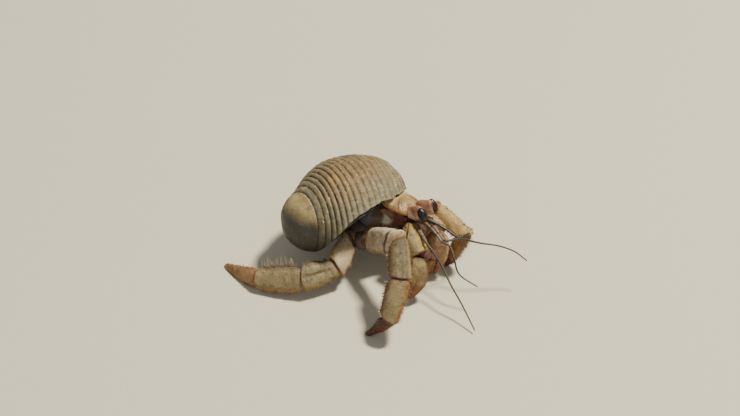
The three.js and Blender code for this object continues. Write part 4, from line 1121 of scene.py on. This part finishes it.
# The maxillipeds' horn is painted paler than their own pinkish brown: painted light where the head shades
# them.
PALE_BROWN_PAINTED_LIGHT = horn("pale_brown_painted_light_horn", "dcc4b2", "b89c8a", "b89684", "9c7c68", "8a6450")
STEMS = {
    "antenna_base_right": ((4.9, -1.5, 15.6), (10.4, -4.1, 14.6), (1.5, 1.1, 0.8), 0.0, pale_feeler),
    "antenna_base_left": ((5.6, 2.1, 15.6), (12.6, -0.2, 13.8), (1.5, 1.1, 0.8), 0.0, pale_feeler),
    "antennule_stem_right": ((6.1, 0.0, 16.1), (12.9, -1.3, 14.3), (0.9, 0.7, 0.6), 0.5, pale_feeler),
    "antennule_stem_left": ((6.4, 1.2, 16.2), (13.7, 3.1, 13.5), (0.9, 0.7, 0.6), 0.35, feeler_horn),
}
for name, (root, tip, points) in WHIPS.items():
    make_piece(f"{name}_rings", [feeler_skin(points, root, tip)], feeler_horn, "feeler", name)
for name, (start, end, widths, bow, finish) in STEMS.items():
    skin = plate_skin(Plate(UP, widths, widths, bow), start, end, rows=60, cols=20, tip=True)
    first, second = skin.along - 0.36, skin.along - 0.68
    skin = drawn_in(skin, 1 - 0.2 * np.exp(-(first / 0.03) ** 2) - 0.2 * np.exp(-(second / 0.03) ** 2))
    joint = (np.exp(-(first / 0.04) ** 2) + np.exp(-(second / 0.04) ** 2))[:, None]
    make_piece(f"{name}_horn", [rings_mesh(skin.points, ends=joint, joint=joint)], finish, "feeler", name)

face_coat = Coat("face_hairs", 15)
plate = Plate((1, 0, 0.35), (2.2, 2.3, 1.9, 1.3), (1.7, 1.8, 1.5, 1.1), 1.1)
for k, (name, (start, end)) in enumerate(MOUTH_LEGS.items()):
    skin = plate_skin(plate, start, end, rows=60, cols=36, tip=True)
    first, second = skin.along - 0.4, skin.along - 0.7
    skin = drawn_in(skin, 1 - 0.18 * np.exp(-(first / 0.03) ** 2) - 0.18 * np.exp(-(second / 0.03) ** 2))
    parts, points, normal = dress_plate(plate, skin, 81 + k, grain=0.02)
    make_piece(f"maxilliped_{name}_horn", parts, PALE_BROWN_PAINTED_LIGHT, "mouthparts", f"maxilliped_{name}")
    where = 0.5 + 0.5 * smooth(skin.back, 0.3, 0.9) * smooth(skin.along, 0.2, 0.5)[:, None]
    face_coat.grow(Bed(points, normal, skin.along, skin.way, (k, 0)), 420, where, 0.8, 0.05)
face_coat.piece(hair, "mouthparts")


# ------------------------------------------------------------------ soft body and small rear legs
# The soft chest between the leg roots and the root of the abdomen that fills the shell's mouth,
# creased grey and brown skin; the small fourth legs are folded against the lip.
SWELLINGS = {
    (-8.0, -5.9, 9.4): (3.4, 2.9, 3.0),
    (-3.4, -4.6, 9.6): (3.0, 2.4, 2.6),
    (-6.0, -8.0, 8.9): (2.6, 2.2, 2.4),
}
SMALL_LEGS = {
    "right": ((-5.0, -3.9, 11.4), (-5.2, -8.6, 10.2), 0.5),
    "left": ((-3.6, 4.6, 10.6), (-5.4, 8.3, 9.2), 0.4),
}
flesh = Finish("soft_skin", 0.5)
fold, blot = flesh.noise(0.8, 4.0), flesh.noise(2.5, 3.0)
along_mark, back_mark = flesh.mark("along"), flesh.mark("back")
colour = flesh.blend(blot.over(0.35, 0.65), tint("4a4c4e"), tint("70767a"))
colour = flesh.blend(along_mark.over(0.20, 0.36) * 0.85, colour, tint("5c4434"))
colour = flesh.blend(along_mark.over(0.60, 0.68) * 0.8, colour, tint("42221a"))
colour = flesh.blend(back_mark.over(-0.05, -0.45) * 0.85, colour, tint("4a3628"))
# A pale grey patch on the chest: the skin's own marking, painted paler than its own grey as painted light
# where it lies in shade.
patch = 1 - abs(along_mark - 0.61 + (blot - 0.5) * 0.3).over(0.04, 0.13)
patch = patch * (back_mark + (fold - 0.5) * 0.5).over(0.15, 0.40)
colour = flesh.blend(patch * (1 - back_mark.over(0.75, 0.92)), colour, tint("aca898"))
colour = flesh.blend(fold.over(0.55, 0.75) * 0.4, colour, tint("6a5c52"))
flesh.wear(colour, flesh.bump(fold, 0.15), 0.38 + fold * 0.2)
plate = Plate(body_up, (5.6, 7.2, 7.4, 7.4, 5.4), (7.4, 9.0, 8.4, 7.8, 5.2))
ends = on_body(-13.6, -1.6, -6.6), on_body(-1.3, 0, -5.3)
skin = plate_skin(plate, *ends, rows=80, cols=60, tip=True, square=2.3)
parts = dress_plate(plate, skin, 91, grain=0.05)[0]
middle = MOUTH * (MOUTH_DISTANCE + 0.4) + mouth_out * MOUTH_MIDDLE[0] + mouth_along * MOUTH_MIDDLE[1]
blob = ball(middle, [MOUTH, mouth_out, mouth_along], [5.5, 7.1, 9.3], 40, 56)
over_plane = blob @ MOUTH - (MOUTH_DISTANCE - 0.6)
blob = blob - MOUTH * np.maximum(over_plane, 0)[..., None]
folds = 0.25 * np.sin((blob @ mouth_along) * 2.2 + wrinkle(blob, 5, 95)) * smooth(over_plane, -0.5, 0.5)
sunk = (0.25 + folds) * (over_plane > -2)
parts.append(rings_mesh(shell_place(blob - MOUTH * sunk[..., None])))
for root, halves in SWELLINGS.items():
    parts.append(rings_mesh(ball(root, np.eye(3), halves, 26, 34), back=-1.0))
make_piece("soft_body", parts, flesh, "skin", "thorax", "abdomen")
for k, (name, (start, end, bow)) in enumerate(SMALL_LEGS.items()):
    plate = Plate(UP, (2.0, 2.2, 1.9, 1.2), (1.7, 1.9, 1.6, 1.0), bow)
    skin = plate_skin(plate, start, end, rows=50, cols=32, tip=True)
    parts = dress_plate(plate, skin, 111 + k, grain=0.02)[0]
    make_piece(f"leg4_{name}_horn", parts, BROWN, "leg", f"leg4_{name}")
